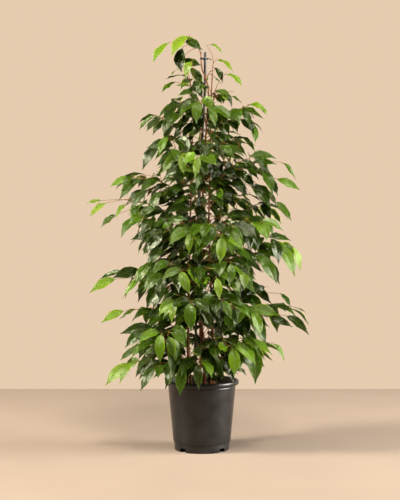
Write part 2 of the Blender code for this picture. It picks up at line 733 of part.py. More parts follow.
def given_side_shoot(main, tip, leaf_tip):
    """A side shoot to a given end, from the point of the main shoot that lies about halfway back."""
    halfway = main.path[0].lerp(tip, 0.5)
    shares = [0.2 + 0.05 * step for step in range(15)]
    share = min(shares, key=lambda s: (along(main.path, s)[0] - halfway).length)
    root, _ = along(main.path, share)
    path = arch(root, tip, RISE * 0.7, FALL, SIDE_TWIG_SEGMENTS)
    return Twig(path, SIDE_TWIG_RADII, SIDE_BARE_ROOT, leaf_tip)


def drawn_side_shoot(rng, main, share, side):
    root, ahead = along(main.path, share)
    lateral = ahead.cross(UP).normalized() * side
    reach = SIDE_TWIG_LENGTH * rng.uniform(0.75, 1.2)
    tip = root + (ahead * rng.uniform(0.4, 0.7) + lateral * rng.uniform(0.6, 0.9)) * reach
    tip.z = root.z + reach * rng.uniform(-0.1, 0.35)
    return Twig(arch(root, tip, RISE, FALL, SIDE_TWIG_SEGMENTS), SIDE_TWIG_RADII, SIDE_BARE_ROOT)


def grow_twigs(stems, thicket):
    """Every branch as its name and its shoots, the main one first."""
    grown = []
    for number, (stem_name, height, shoots, *leafy_to) in enumerate(BRANCHES, 1):
        name = f"branch_{number:02d}"
        (tip, leaf_tip), *others = [[Vector(point) * MM for point in shoot] for shoot in shoots]
        main = main_shoot(name, stems[stem_name], height * MM, tip, leaf_tip, thicket)
        main.leafy_to = leafy_to[0] if leafy_to else 1
        thicket.add(name, *main.shape())
        grown.append((name, [main], others))
    for name, twigs, others in grown:
        main = twigs[0]
        for tip, leaf_tip in others:
            side = given_side_shoot(main, tip, leaf_tip)
            side.leafy_to = main.leafy_to
            if thicket.meets(*side.shape(), leave_out=name):
                print(name, "has a side shoot that crosses something")
                continue
            thicket.add(name, *side.shape())
            twigs.append(side)
    return [(name, twigs) for name, twigs, _ in grown]


def end_leaves(grown, thicket):
    """{branch name: leaves} with the leaf that each given shoot ends in."""
    leaves = {name: [] for name, _ in grown}
    for name, twigs in grown:
        for order, twig in enumerate(twigs):
            if not twig.leaf_tip:
                continue
            for attempt in range(LEAF_TRIES):
                leaf = leaf_at_end(random.Random(f"{SEED} {name} {order} end {attempt}"), twig)
                if thicket.take(name, leaf):
                    leaves[name].append(leaf)
                    break
            else:
                print(name, order, "end leaf finds no room")
    return leaves


def more_side_shoots(grown, thicket):
    """Draws further side shoots for the branches that are long for their number of shoots."""
    for name, twigs in grown:
        main = twigs[0]
        rng = random.Random(f"{SEED} {name}")
        places = max(0, round(length_of(main.path) * main.leafy_to / SIDE_TWIG_EVERY) - len(twigs) + 1)
        for place in range(places):
            for _ in range(LEAF_TRIES):
                share = 0.25 + 0.55 * main.leafy_to * (place + rng.uniform(0.2, 0.8)) / places
                side = drawn_side_shoot(rng, main, share, 1 if place % 2 else -1)
                if not thicket.meets(*side.shape(), leave_out=name):
                    thicket.add(name, *side.shape())
                    twigs.append(side)
                    break


def side_leaves(grown, leaves, thicket, places):
    """Adds a leaf at the given places along each shoot, where one finds room."""
    top = max(twig.path[-1].z for _, twigs in grown for twig in twigs)
    for name, twigs in grown:
        for order, twig in enumerate(twigs):
            count = max(2, round(length_of(twig.path) * (1 - twig.bare) / LEAF_STEP))
            for place in places(count):
                share = 1 - (1 - twig.bare) * (place + 0.5) / count
                if share > twig.leafy_to:
                    continue
                side = 1 if (place + order) % 2 else -1
                rng = random.Random(f"{SEED} {name} {order} {place}")
                for _ in range(LEAF_TRIES):
                    leaf = leaf_beside(rng, twig, share, side, twig.path[-1].z / top)
                    if thicket.take(name, leaf):
                        leaves[name].append(leaf)
                        break


def obstacles(stems, cane):
    """The thicket of everything that the branches grow among."""
    thicket = Thicket()
    rim = [Vector((0, 0, 0)), Vector((0, 0, POT_HEIGHT))]
    thicket.add("pot", *prism(rim, lambda _: RIM_RADIUS + 1 * MM, 24))
    thicket.add("cane", *prism(cane, lambda _: CANE_RADIUS * 1.1, 8))
    for name, stem in stems.items():
        low, high = stem["radii"]
        thicket.add(name, *prism(stem["path"], lambda t: low + (high - low) * t + SEAT_GAP / 2, 8))
    for height in TIE_HEIGHTS:
        post, shoot = at_height(cane, height), at_height(stems["leader"]["path"], height)
        forward = flat(shoot - post).normalized()
        past = forward * (CANE_RADIUS + TIE_TAIL + 2 * MM)
        reach = [post - past, post - forward * 6.5 * MM, post - forward * 6 * MM, shoot + forward * 6 * MM]
        thicket.add("tie", *prism(reach, lambda t: (2.5 if t < 0.5 else 6.5) * MM, 6))
    return thicket


def leaf_object(leaf, collection):
    """A thin arched blade, laid between unlike rows of points and given its thickness."""
    blade = bmesh.new()
    stalk, tip = blade.verts.new(leaf.root), blade.verts.new(leaf.station(1)[0])
    rows = []
    for share, width_share in (SHOULDER, TAPER):
        middle, out, _ = leaf.section(share, leaf.width / 2 * width_share)
        rows.append([blade.verts.new(middle - out), blade.verts.new(middle + out)])
    shoulder, taper = rows
    blade.faces.new((stalk, shoulder[1], shoulder[0]))
    blade.faces.new((shoulder[0], shoulder[1], taper[1], taper[0]))
    blade.faces.new((taper[0], taper[1], tip))
    bmesh.ops.triangulate(blade, faces=blade.faces)
    bmesh.ops.solidify(blade, geom=blade.faces[:], thickness=LEAF_THICKNESS)
    bmesh.ops.recalc_face_normals(blade, faces=blade.faces)
    mesh = bpy.data.meshes.new("leaf")
    blade.to_mesh(mesh)
    blade.free()
    return new_object("leaf", mesh, collection)


def seat_root(branch, main, stem):
    """Moves a shoot's root end up to its stem, to leave only the seat gap."""
    root = main.path[0]
    end = [v for v in branch.data.vertices if (v.co - root).length < main.radii[0] * 1.2]
    spots = [root, *(a.co.lerp(b.co, 0.5) for a in end for b in end)]
    bark = BVHTree.FromPolygons([v.co for v in stem.data.vertices], [p.vertices for p in stem.data.polygons])
    towards = (bark.find_nearest(root)[0] - root).normalized()
    gap = min(bark.find_nearest(spot)[3] for spot in spots)
    for vertex in end:
        vertex.co += towards * (gap - SEAT_GAP)


def build_branch(name, twigs, leaves, stem, collection, finish):
    """One leafy branch: its main shoot with its side shoots and leaves fused in."""
    main, *sides = twigs
    branch = triangle_rod(name, main.path, main.radii, collection, finish)
    seat_root(branch, main, stem)
    fused_in = new_collection(name + "_parts")
    for side in sides:
        triangle_rod("side_shoot", side.path, side.radii, fused_in, None)
    for leaf in leaves:
        leaf_object(leaf, fused_in)
    join_by("UNION", branch, fused_in)
    return branch


def main():
    for obj in list(bpy.data.objects):
        bpy.data.objects.remove(obj)
    plant = new_collection(COLLECTION_NAME)
    cane_path = millimetre_path(CANE_PATH)
    stems = {name: {**facts, "path": millimetre_path(facts["points"])} for name, facts in STEMS.items()}
    build_pot(plant)
    build_soil(plant, stems, cane_path)
    cane_finish = material("cane_coating", CANE_BLACK, 0.4)
    solid_tube("cane", cane_path, (CANE_RADIUS, CANE_RADIUS), plant, cane_finish)
    bark = material("bark", BARK_BROWN, 0.7)
    for name, stem in stems.items():
        stem["object"] = solid_tube(f"stem_{name}", stem["path"], stem["radii"], plant, bark)
    tie_finish = material("tie_plastic", TIE_GREEN_BLACK, 0.5)
    for number, height in enumerate(TIE_HEIGHTS, 1):
        build_tie(f"tie_{number}", height, stems["leader"], cane_path, plant, tie_finish)
    thicket = obstacles(stems, cane_path)
    grown = grow_twigs(stems, thicket)
    leaves = end_leaves(grown, thicket)
    more_side_shoots(grown, thicket)
    side_leaves(grown, leaves, thicket, lambda count: range(0, count, 3))
    leaf_finish = material("leaf", LEAF_GREEN, 0.35)
    for (name, twigs), (stem_name, *_) in zip(grown, BRANCHES):
        build_branch(name, twigs, leaves[name], stems[stem_name]["object"], plant, leaf_finish)


main()
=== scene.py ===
"""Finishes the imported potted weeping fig: fine leaves, twigs, bark, soil, ties and pot, with its stage.

Metres, +Z up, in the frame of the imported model. The front of the plant faces -Y.
"""

import json
import math
import random

import bmesh
import bpy
import numpy as np
from bpy.props import FloatProperty, FloatVectorProperty, IntProperty, PointerProperty
from mathutils import Matrix, Quaternion, Vector, noise
from mathutils.bvhtree import BVHTree

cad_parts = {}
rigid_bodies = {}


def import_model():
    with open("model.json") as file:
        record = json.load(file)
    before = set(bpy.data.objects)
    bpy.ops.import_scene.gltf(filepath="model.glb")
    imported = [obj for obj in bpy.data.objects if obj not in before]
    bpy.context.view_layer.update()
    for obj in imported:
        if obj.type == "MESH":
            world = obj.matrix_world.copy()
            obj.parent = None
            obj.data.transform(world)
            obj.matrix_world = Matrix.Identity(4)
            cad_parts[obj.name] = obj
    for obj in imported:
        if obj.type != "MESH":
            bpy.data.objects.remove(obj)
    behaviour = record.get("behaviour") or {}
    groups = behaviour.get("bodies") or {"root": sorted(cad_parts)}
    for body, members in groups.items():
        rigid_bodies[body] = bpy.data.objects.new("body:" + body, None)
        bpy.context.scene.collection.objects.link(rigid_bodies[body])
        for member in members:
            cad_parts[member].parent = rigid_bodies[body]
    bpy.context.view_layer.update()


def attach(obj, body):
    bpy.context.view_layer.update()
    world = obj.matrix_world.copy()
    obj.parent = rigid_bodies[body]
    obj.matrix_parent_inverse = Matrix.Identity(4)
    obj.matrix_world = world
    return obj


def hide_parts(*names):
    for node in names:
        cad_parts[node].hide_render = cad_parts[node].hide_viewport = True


bl_info = {
    "name": "Potted weeping fig",
    "version": (1, 0, 0),
    "blender": (4, 5, 0),
    "location": "View3D > Sidebar > Fig",
    "description": "Builds a potted weeping fig round its packed model",
    "category": "Object",
}

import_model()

MM = 0.001
UP = Vector((0, 0, 1))
ROOT_BODY = "root"

# Growth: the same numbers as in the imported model
POT_HEIGHT = 197 * MM
RIM_RADIUS = 105 * MM
SEAT_GAP = 0.35 * MM
CANE_RADIUS = 3.6 * MM
CANE_PATH = [
    (-19, 6, 100), (-19, 6, 190), (-16, 6, 400), (-10, 5, 680), (2, 4, 900), (8, 3, 1010), (9, 3, 1127),
]
TIE_HEIGHTS = [h * MM for h in (450, 646, 848, 1027, 1108)]
TIE_BAND = 1.6 * MM
TIE_DEPTH = 5 * MM
TIE_TAIL = 17 * MM

# Stems: points in millimetres, and the radii at the foot and at the top
STEMS = {
    "leader": {
        "points": [
            (8, -9, 100), (8, -9, 190), (1, -8, 320), (-2, -7, 450), (0, -7, 646), (8, -7, 848),
            (16, -5, 960), (16, -6, 1033), (9, -5.5, 1055), (1, -4, 1076), (-2, -1, 1098), (-3, 1, 1120),
        ],
        "radii": (4.6 * MM, 1.7 * MM),
    },
    "right": {
        "points": [
            (33, 6, 100), (33, 6, 190), (28, 6, 400), (20, 5, 640), (23, 6, 800), (25, 4, 900),
            (27, 2, 1000), (29, 0, 1046),
        ],
        "radii": (4.2 * MM, 1.6 * MM),
    },
    "left": {
        "points": [
            (-40, -14, 100), (-40, -14, 190), (-38, -14, 400), (-34, -12, 600), (-30, -8, 760),
            (-27, -4, 880),
        ],
        "radii": (4.0 * MM, 1.7 * MM),
    },
    "back": {
        "points": [
            (-4, 32, 100), (-4, 32, 190), (-5, 33, 400), (-6, 31, 640), (-4, 28, 800), (-6, 24, 940),
        ],
        "radii": (4.0 * MM, 1.6 * MM),
    },
}

# Branches: the stem, the root's height on it, then each shoot's end, the tip of the leaf there and how
# fresh its leaves are, from 0 for old dark leaves to 1 for new lime ones. Lengths are in millimetres.
# A last number is the share of its shoots past which only their end leaves grow.
BRANCHES = [
    # crown
    ("leader", 1120, [
        ((-88, -16, 1151), (-138, -34, 1089), 0.75), ((-34, -22, 1167), (-86, -50, 1104), 1.0),
        ((-16, 4, 1160), (-76, 14, 1156), 0.6), ((-52, -2, 1142), (-58, -24, 1064), 0.05),
        ((-46, -22, 1156), (2, -62, 1119), 0.35), ((-54, 8, 1112), (0, -32, 1082), 0.45),
    ], 0),
    ("right", 1046, [
        ((38, 2, 1104), (90, 6, 1069), 0.95), ((14, 4, 1146), (58, -6, 1121), 1.0),
        ((30, -8, 1082), (59, -32, 1032), 0.1), ((24, 16, 1066), (58, 16, 1036), 0.6),
    ], 0),
    ("right", 985, [
        ((64, -16, 1060), (113, -46, 1020), 0.75), ((34, -44, 1009), (81, -66, 993), 0.5),
        ((50, -50, 1004), (72, -62, 976), 1.0), ((80, 22, 1006), (116, 28, 984), 0.35),
    ], 0.35),
    ("leader", 985, [
        ((-73, -6, 1040), (-114, -24, 1007), 0.6), ((-22, -50, 1007), (-68, -70, 991), 0.4),
        ((-52, 20, 1086), (4, 34, 1040), 0.4), ((-28, -40, 1094), (-46, -62, 1040), 0.85),
        ((-62, 22, 1084), (-94, 28, 1054), 0.7), ((-30, 12, 1032), (-76, 20, 1034), 0.8),
    ], 0.3),
    ("leader", 915, [
        ((-8, -84, 977), (-16, -104, 909), 0.65), ((22, -88, 956), (36, -108, 900), 0.65),
    ]),
    ("leader", 885, [
        ((-67, -40, 981), (-94, -60, 959), 0.3), ((-84, -52, 940), (-104, -70, 880), 0.3),
    ]),
    ("back", 930, [((-16, 86, 1000), (-40, 120, 950), 0.2)]),
    # left side, downwards
    ("left", 870, [
        ((-131, 10, 946), (-180, 14, 904), 0.25), ((-114, -44, 931), (-156, -54, 893), 0.05),
    ]),
    ("left", 780, [
        ((-111, -30, 858), (-167, -36, 788), 0.35), ((-90, -66, 880), (-120, -86, 820), 0.4),
    ], 0.6),
    ("left", 700, [
        ((-200, -10, 768), (-260, -22, 742), 0.6), ((-168, -22, 766), (-232, -36, 704), 0.35),
        ((-192, 66, 778), (-252, 78, 746), 0.4), ((-150, -38, 735), (-198, -50, 676), 0.4),
        ((-112, -64, 728), (-146, -84, 664), 0.3), ((-170, 30, 722), (-210, 38, 660), 0.35),
    ]),
    ("left", 620, [
        ((-286, 10, 705), (-330, 4, 696), 1.0), ((-268, -8, 698), (-318, -20, 656), 0.95),
        ((-238, -36, 664), (-283, -46, 626), 0.6), ((-212, -36, 694), (-240, -58, 652), 0.9),
    ], 0.5),
    ("left", 560, [
        ((-176, -84, 655), (-222, -104, 597), 0.45), ((-100, -134, 613), (-154, -154, 553), 0.05),
    ]),
    ("left", 530, [((-152, 104, 610), (-190, 130, 550), 0.1)]),
    ("left", 420, [
        ((-240, 0, 482), (-319, -10, 442), 0.8), ((-226, 30, 502), (-296, 40, 479), 0.15),
    ], 0.72),
    ("left", 440, [((-136, -114, 526), (-184, -134, 469), 0.35)]),
    ("left", 345, [
        ((-216, -10, 392), (-285, -20, 358), 0.75), ((-186, 40, 394), (-240, 56, 362), 0.6),
    ], 0.68),
    ("left", 300, [
        ((-150, -84, 342), (-212, -104, 296), 0.2), ((-92, -146, 335), (-72, -170, 271), 0.6),
    ]),
    ("left", 215, [
        ((-197, -40, 248), (-269, -60, 186), 0.8), ((-180, -6, 284), (-232, -10, 250), 0.5),
        ((-150, -34, 300), (-198, -48, 262), 0.55),
    ]),
    ("left", 238, [
        ((-125, -100, 246), (-167, -124, 180), 0.35), ((-108, -152, 343), (-112, -172, 262), 0.55),
    ]),
    # right side, downwards
    ("right", 890, [
        ((152, 16, 981), (189, 20, 950), 0.95), ((108, -60, 956), (134, -84, 902), 0.4),
        ((136, -24, 922), (148, -54, 862), 0.4),
    ]),
    ("right", 800, [((112, 84, 895), (158, 104, 850), 0.3)]),
    ("right", 745, [
        ((226, 16, 815), (269, 20, 764), 0.5), ((206, -26, 765), (276, -34, 732), 0.5),
        ((176, -12, 776), (214, -26, 716), 0.3), ((170, 20, 742), (216, 26, 690), 0.35),
        ((206, -8, 704), (254, -16, 646), 0.55),
    ], 0.7),
    ("right", 720, [
        ((138, -84, 821), (184, -100, 778), 0.2), ((49, -114, 848), (90, -134, 808), 0.35),
        ((140, -58, 738), (186, -74, 684), 0.35),
    ]),
    ("right", 600, [((186, 104, 690), (236, 120, 640), 0.2)]),
    ("right", 560, [
        ((166, -72, 642), (178, -94, 588), 0.7), ((115, -132, 621), (132, -158, 560), 0.05),
    ]),
    ("right", 500, [
        ((249, 20, 578), (282, 24, 501), 0.75), ((206, -22, 580), (261, -34, 488), 0.7),
        ((188, -50, 600), (212, -74, 523), 0.2), ((160, -40, 545), (216, -66, 468), 0.3),
    ]),
    ("right", 455, [((144, -124, 550), (203, -138, 472), 0.4)]),
    ("right", 375, [
        ((219, -30, 442), (248, -44, 404), 0.3), ((178, -70, 462), (121, -96, 440), 0.0),
    ], 0.6),
    ("right", 325, [
        ((234, 8, 378), (305, 0, 322), 0.35), ((182, -66, 378), (252, -72, 350), 0.05),
        ((256, 92, 396), (319, 124, 340), 0.3), ((126, -60, 380), (178, -78, 300), 0.15),
    ], 0.85),
    ("right", 340, [((130, -134, 402), (159, -156, 330), 0.65)]),
    ("right", 240, [((200, 30, 297), (238, 40, 242), 0.65)], 0.7),
    ("right", 225, [((123, -110, 308), (144, -132, 200), 0.5)]),
    # front, downwards
    ("leader", 745, [
        ((-54, -120, 825), (-48, -142, 766), 0.85), ((-10, -140, 818), (-20, -160, 756), 0.8),
    ]),
    ("leader", 560, [
        ((-32, -175, 612), (-34, -194, 553), 0.7), ((35, -180, 630), (8, -204, 570), 0.35),
    ]),
    ("leader", 525, [
        ((50, -192, 601), (46, -214, 527), 0.75), ((82, -168, 628), (98, -196, 564), 0.3),
    ]),
    ("leader", 425, [
        ((-58, -190, 511), (-31, -210, 446), 0.7), ((-98, -160, 495), (-112, -182, 424), 0.3),
    ]),
    ("leader", 470, [
        ((77, -185, 532), (71, -208, 468), 0.35), ((105, -150, 521), (112, -176, 456), 0.8),
    ]),
    ("leader", 365, [
        ((37, -200, 493), (45, -220, 432), 0.9), ((54, -176, 431), (78, -200, 380), 0.35),
    ]),
    ("leader", 335, [
        ((-31, -200, 430), (-29, -219, 349), 0.35), ((-69, -182, 426), (-81, -204, 372), 0.8),
    ]),
    ("leader", 262, [((79, -140, 305), (86, -164, 224), 0.75)]),
    ("leader", 222, [
        ((-12, -122, 258), (-8, -142, 186), 0.45), ((-46, -118, 249), (-60, -138, 170), 0.3),
        ((59, -92, 270), (71, -114, 218), 0.3),
    ]),
    # back, downwards
    ("back", 850, [((62, 112, 905), (84, 150, 850), 0.3)]),
    ("back", 760, [((-78, 136, 830), (-104, 172, 770), 0.4)]),
    ("back", 660, [((58, 170, 725), (74, 210, 665), 0.6), ((122, 140, 705), (152, 168, 650), 0.3)]),
    ("back", 560, [
        ((-88, 176, 620), (-112, 214, 555), 0.7), ((-142, 138, 600), (-176, 164, 548), 0.2),
    ]),
    ("back", 455, [((84, 180, 520), (106, 216, 455), 0.6), ((6, 178, 505), (0, 214, 440), 0.35)]),
    ("back", 350, [((-70, 172, 410), (-92, 210, 345), 0.6)]),
    ("back", 245, [((48, 152, 300), (64, 186, 235), 0.5)]),
]
RISE = math.radians(30)
FALL = math.radians(26)
STEEPEST, LOWEST = math.radians(82), math.radians(-50)
HANDLE_SHARE = 0.36
# A main shoot that would cross something is swung by so many degrees and raised by so much at a time
MAIN_TRIES = 15
SWING_STEP = 4
RAISE_STEP = 7 * MM
TWIG_SEGMENTS = 5
TWIG_RADII = (2.3 * MM, 1.2 * MM)
SIDE_TWIG_RADII = (1.5 * MM, 1.1 * MM)
SIDE_TWIG_LENGTH = 88 * MM
SIDE_TWIG_EVERY = 112 * MM
SIDE_TWIG_SEGMENTS = 2
BARE_ROOT = 0.14
SIDE_BARE_ROOT = 0.16
LEAF_STEP = 18 * MM
LEAF_LENGTH = 82 * MM
LEAF_WIDTH_SHARE = 0.44
PETIOLE = 11 * MM
PACKED_FOLD = math.radians(16)
PATH_STEPS = 12
LEAF_TRIES = 12
CLEARANCE = 1.4 * MM
REACH = (Vector((-331, -234, 0)) * MM, Vector((320, 234, 1186)) * MM)
CROWN_FROM, CROWN_FULL = 850 * MM, 1050 * MM
# Leaves turn to the front, but less and less over the fade that ends at this depth
BACK_FROM, BACK_FADE = 90 * MM, 120 * MM
# The shape for clearance tests: shares of a leaf's length, and its half width there as a share of its width
ENVELOPE = ((0.09, 0.13), (0.30, 0.46), (0.48, 0.51), (0.70, 0.41))
SEED = 27

# A leaf's outline: the share of its length from the twig, and its half width there, as a share
# of the widest
PETIOLE_SHARES = (0, 0.105)
BLADE_ROWS = (
    (0.135, 0.24), (0.225, 0.64), (0.37, 0.95), (0.55, 0.99), (0.72, 0.72), (0.87, 0.22), (1.0, 0.02),
)
BLADE_COLUMNS = 4
# The share of a leaf that follows its shoot's smooth line
FOLLOWING_SHARE = 0.12
# Leaves that end nearer than this to the axis get painted shade: they are darker, the more the nearer
INNER_SHADE_REACH = 170 * MM
SLIMNESS = (0.93, 1.08)

# Further shoots: short ones all the way up the stems, more along each branch, and thin young stems
STEM_SHOOT_EVERY = 13 * MM
STEM_SHOOT_FROM = 194 * MM
STEM_SHOOT_REACH = (50 * MM, 115 * MM)
FILL_SHOOT_EVERY = 30 * MM
FILL_SHOOT_REACH = (45 * MM, 85 * MM)
FILL_LEAF_STEP = 15 * MM
FILL_TRIES = 9
BASE_SHOOTS = 10
BASE_SHOOT_RADII = (3.2 * MM, 2.0 * MM)
# The finished wood: its thickness at the root and at the tip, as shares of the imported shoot's radii there,
# and how old its bark is at the root of a main shoot and of a side shoot
WOOD_SHARES = (0.66, 0.5)
MAIN_AGE, SIDE_AGE = 0.8, 0.45
# How far each shoot is turned on from the last one round the plant, and any turn at all, in radians
TURN_ON = 2.4
ANY_TURN = (0, 6.28)
# How far from the plant's axis such leaves may reach: (height, radius) pairs
FILL_REACH = [(h * MM, r * MM) for h, r in (
    (150, 90), (190, 118), (240, 150), (320, 182), (700, 186), (820, 152), (930, 108), (1050, 56),
    (1169, 20),
)]

# Pot, in millimetres: points of its section, as steps from the wall's top or the foot's edge
FLOOR_TOP, FLOOR_UNDERSIDE = 12, 10
RIM_ROUND = 5
BEAD_UNDER_RIM = ((0.9, 0.5), (0.1, -1.2), (-0.5, -2.6), (-0.1, -4.4))
FOOT_EDGE = ((0.2, 10), (0, 2.0), (-0.6, 0.5), (-1.6, 0), (-3.4, 0), (-4.2, 0.8), (-5, 10))
NOTCH_SIZE, NOTCH_MIDDLE, FIRST_NOTCH = (20, 14, 15), 3.5, -43
DRAIN_RADIUS, DRAIN_DISTANCE = 6, 46
# Soil: how long, wide and high its bark chips and its crumbs are, each from and to, in millimetres
SOIL_RINGS = 34
CHIP_SIZES = ((3.0, 8.0), (1.6, 3.4), (0.8, 1.8))
CRUMB_SIZES = ((1.0, 2.2), (0.8, 1.8), (0.7, 1.3))
# Ties, in millimetres
CLASP_SIZE = (4.2, 4.4, 5.8)

# Stage: each lamp's size, place and colour, and the spot that they all point at
LAMPS = {
    "key": (0.8, (-3.0, -1.0, 2.6), (1.0, 0.93, 0.82)),
    "side": (1.5, (3.1, -0.35, 1.1), (1.0, 0.96, 0.92)),
    "top": (1.0, (0.5, -2.2, 3.7), (1.0, 0.94, 0.86)),
}
LAMPS_AIM = Vector((0, 0, 0.6))
CAMERA_PLACE = (-0.0054, -2.8, 0.564)
CAMERA_SENSOR = 36


def length_property(name, description, default):
    return FloatProperty(
        name=name, description=description, default=default, min=0, unit="LENGTH", subtype="DISTANCE"
    )


def share_property(name, description, default, high=1.0):
    return FloatProperty(name=name, description=description, default=default, min=0, max=high)


def colour_property(name, description, default):
    return FloatVectorProperty(
        name=name, description=description, default=default, size=3, min=0, max=1, subtype="COLOR"
    )


class FigPotSettings(bpy.types.PropertyGroup):
    """Sizes and colour of the nursery pot."""

    height: length_property("Height", "From the floor to the rim's top", POT_HEIGHT)
    rim_radius: length_property("Rim radius", "Outer radius of the rolled rim", RIM_RADIUS)
    rim_depth: length_property("Rim depth", "Height of the rolled rim band", 13.5 * MM)
    wall_top_radius: length_property("Wall top radius", "Outer radius under the rim", 95.8 * MM)
    wall_foot_radius: length_property("Wall foot radius", "Outer radius over the foot", 81.2 * MM)
    foot_radius: length_property("Foot radius", "Outer radius of the stepped foot", 77.6 * MM)
    foot_height: length_property("Foot height", "Height of the stepped foot", 22 * MM)
    wall: length_property("Wall", "Thickness of the wall", 1.8 * MM)
    steps: IntProperty(name="Steps", description="Faces round the pot", default=144, min=24)
    colour: colour_property("Colour", "Colour of the plastic", (0.0030, 0.0029, 0.0029))


class FigSoilSettings(bpy.types.PropertyGroup):
    """Sizes and colours of the potting soil."""

    top: length_property("Top", "Height of the soil at its edge", 176 * MM)
    dome: length_property("Dome", "How far its middle stands higher", 5 * MM)
    chips: IntProperty(name="Bark chips", description="Chips of bark on the soil", default=420, min=0)
    crumbs: IntProperty(name="Crumbs", description="Crumbs of peat on the soil", default=900, min=0)
    dark: colour_property("Peat", "Colour of the peat", (0.020, 0.011, 0.007))
    warm: colour_property("Bark", "Colour of the bark chips", (0.130, 0.050, 0.020))


class FigFoliageSettings(bpy.types.PropertyGroup):
    """Sizes and colours of the leaves and shoots."""

    blade_thickness: length_property("Blade thickness", "Thickness of a blade", 0.45 * MM)
    petiole_width: length_property("Stalk width", "Width of a leaf's stalk", 1.3 * MM)
    fold: FloatProperty(
        name="Fold", description="Angle of each half to the flat", default=math.radians(13), unit="ROTATION"
    )
    wave: length_property("Wave", "Height of the waves along a margin", 2.2 * MM)
    old: colour_property("Old leaf", "Colour of old leaves", (0.0042, 0.0082, 0.0010))
    grown: colour_property("Grown leaf", "Colour of grown leaves", (0.030, 0.066, 0.003))
    fresh: colour_property("Fresh leaf", "Colour of fresh leaves", (0.082, 0.160, 0.004))
    lime: colour_property("New leaf", "Colour of new leaves", (0.122, 0.186, 0.007))
    under: colour_property("Underside", "Colour of the undersides", (0.050, 0.092, 0.018))
    stalk: colour_property("Stalk", "Colour of the leaf stalks", (0.150, 0.170, 0.030))
    bark: colour_property("Bark", "Colour of the old bark", (0.095, 0.029, 0.008))
    shoot: colour_property("Shoot", "Colour of young shoots", (0.280, 0.130, 0.028))


class FigSupportSettings(bpy.types.PropertyGroup):
    """Sizes and colours of the cane and its ties."""

    cane_radius: length_property("Cane radius", "Radius of the coated cane", CANE_RADIUS)
    cane: colour_property("Cane", "Colour of the coated cane", (0.010, 0.011, 0.012))
    tie: colour_property("Tie", "Colour of the plastic ties", (0.012, 0.016, 0.015))


class FigStageSettings(bpy.types.PropertyGroup):
    """The floor, the lights and the camera."""

    floor: colour_property("Floor", "Colour of the floor", (0.226, 0.178, 0.137))
    floor_depth: length_property("Floor depth", "How far the floor goes back from the plant", 1.2)
    front_share: share_property("Front", "How much of the light from all sides comes from the front", 0.03)
    surround: colour_property("Surround", "Colour of the light from all sides", (0.79, 0.60, 0.43))
    ceiling_share: share_property("Ceiling", "How much of that light comes from above", 0.05)
    key: share_property("Key light", "Power of the key light in watts", 400, 5000)
    side: share_property("Side light", "Power of the light at the right in watts", 340, 5000)
    top: share_property("Top light", "Power of the light above the camera in watts", 200, 5000)
    lens: share_property("Lens", "Focal length in millimetres", 70.96, 500)


SETTINGS = {
    "fig_pot": FigPotSettings,
    "fig_soil": FigSoilSettings,
    "fig_foliage": FigFoliageSettings,
    "fig_support": FigSupportSettings,
    "fig_stage": FigStageSettings,
}


# Meshes


def piece(name, made, slot, finish, *stands_for, crease=math.radians(40)):
    """Makes a piece of the object from a bmesh, and gives it its finish and body; the slot is not used."""
    mesh = bpy.data.meshes.new(name)
    made.to_mesh(mesh)
    made.free()
    mesh.shade_smooth()
    mesh.set_sharp_from_angle(angle=crease)
    mesh.materials.append(finish)
    obj = bpy.data.objects.new(name, mesh)
    bpy.context.scene.collection.objects.link(obj)
    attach(obj, ROOT_BODY)
    if stands_for:
        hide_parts(*stands_for)
    return obj


def spin_profile(profile, steps):
    """A closed solid turned about Z from (radius, height) pairs that start and end on the axis."""
    made = bmesh.new()
    points = [made.verts.new((radius, 0, height)) for radius, height in profile]
    for a, b in zip(points, points[1:]):
        made.edges.new((a, b))
    bmesh.ops.spin(
        made, geom=made.verts[:] + made.edges[:], cent=(0, 0, 0), axis=(0, 0, 1),
        angle=2 * math.pi, steps=steps, use_merge=True,
    )
    bmesh.ops.remove_doubles(made, verts=made.verts, dist=0.005 * MM)
    bmesh.ops.recalc_face_normals(made, faces=made.faces)
    return made


def edges_of(vertices):
    """The edges at these vertices, in an order that is the same in every run."""
    return list(dict.fromkeys(edge for vertex in vertices for edge in vertex.link_edges))


def only(kind, parts):
    return [part for part in parts if isinstance(part, kind)]


def sweep(made, path, radii, sides, ages=None):
    """Adds a closed round tube along a path to a bmesh. Ages run from 1 for old bark to 0 for young."""
    layer = made.verts.layers.float.get("age") or made.verts.layers.float.new("age")
    ages = ages or [1] * len(path)
    start = bmesh.ops.create_circle(made, cap_ends=True, radius=1, segments=sides)["verts"]
    ring = edges_of(start)
    heading = UP
    turn = Quaternion()
    placed = Matrix()
    for index, place in enumerate(path):
        ahead = path[min(index + 1, len(path) - 1)] - path[max(index - 1, 0)]
        turn = heading.rotation_difference(ahead) @ turn
        heading = ahead.normalized()
        wanted = Matrix.LocRotScale(place, turn, Vector((1, 1, 1)) * radii[index])
        if index:
            new = bmesh.ops.extrude_edge_only(made, edges=ring)["geom"]
            start, ring = only(bmesh.types.BMVert, new), only(bmesh.types.BMEdge, new)
        bmesh.ops.transform(made, matrix=wanted @ placed.inverted(), verts=start)
        placed = wanted
        for vertex in start:
            vertex[layer] = ages[index]
    bmesh.ops.contextual_create(made, geom=ring)


def round_edges(made, edges, width, segments):
    return bmesh.ops.bevel(
        made, geom=edges, offset=width, segments=segments, profile=0.5, affect="EDGES", material=-1
    )


def rounded_block(made, size, place, turn, bevel):
    """Adds a box with rounded edges to a bmesh."""
    corners = bmesh.ops.create_cube(made, size=1)["verts"]
    bmesh.ops.scale(made, vec=size, verts=corners)
    shaped = round_edges(made, edges_of(corners), bevel, 2)["verts"]
    whole = dict.fromkeys(vertex for edge in edges_of(shaped) for vertex in edge.verts)
    bmesh.ops.transform(made, matrix=Matrix.LocRotScale(place, turn, None), verts=list(whole))


# Paths


def flat(vector):
    return Vector((vector.x, vector.y, 0))


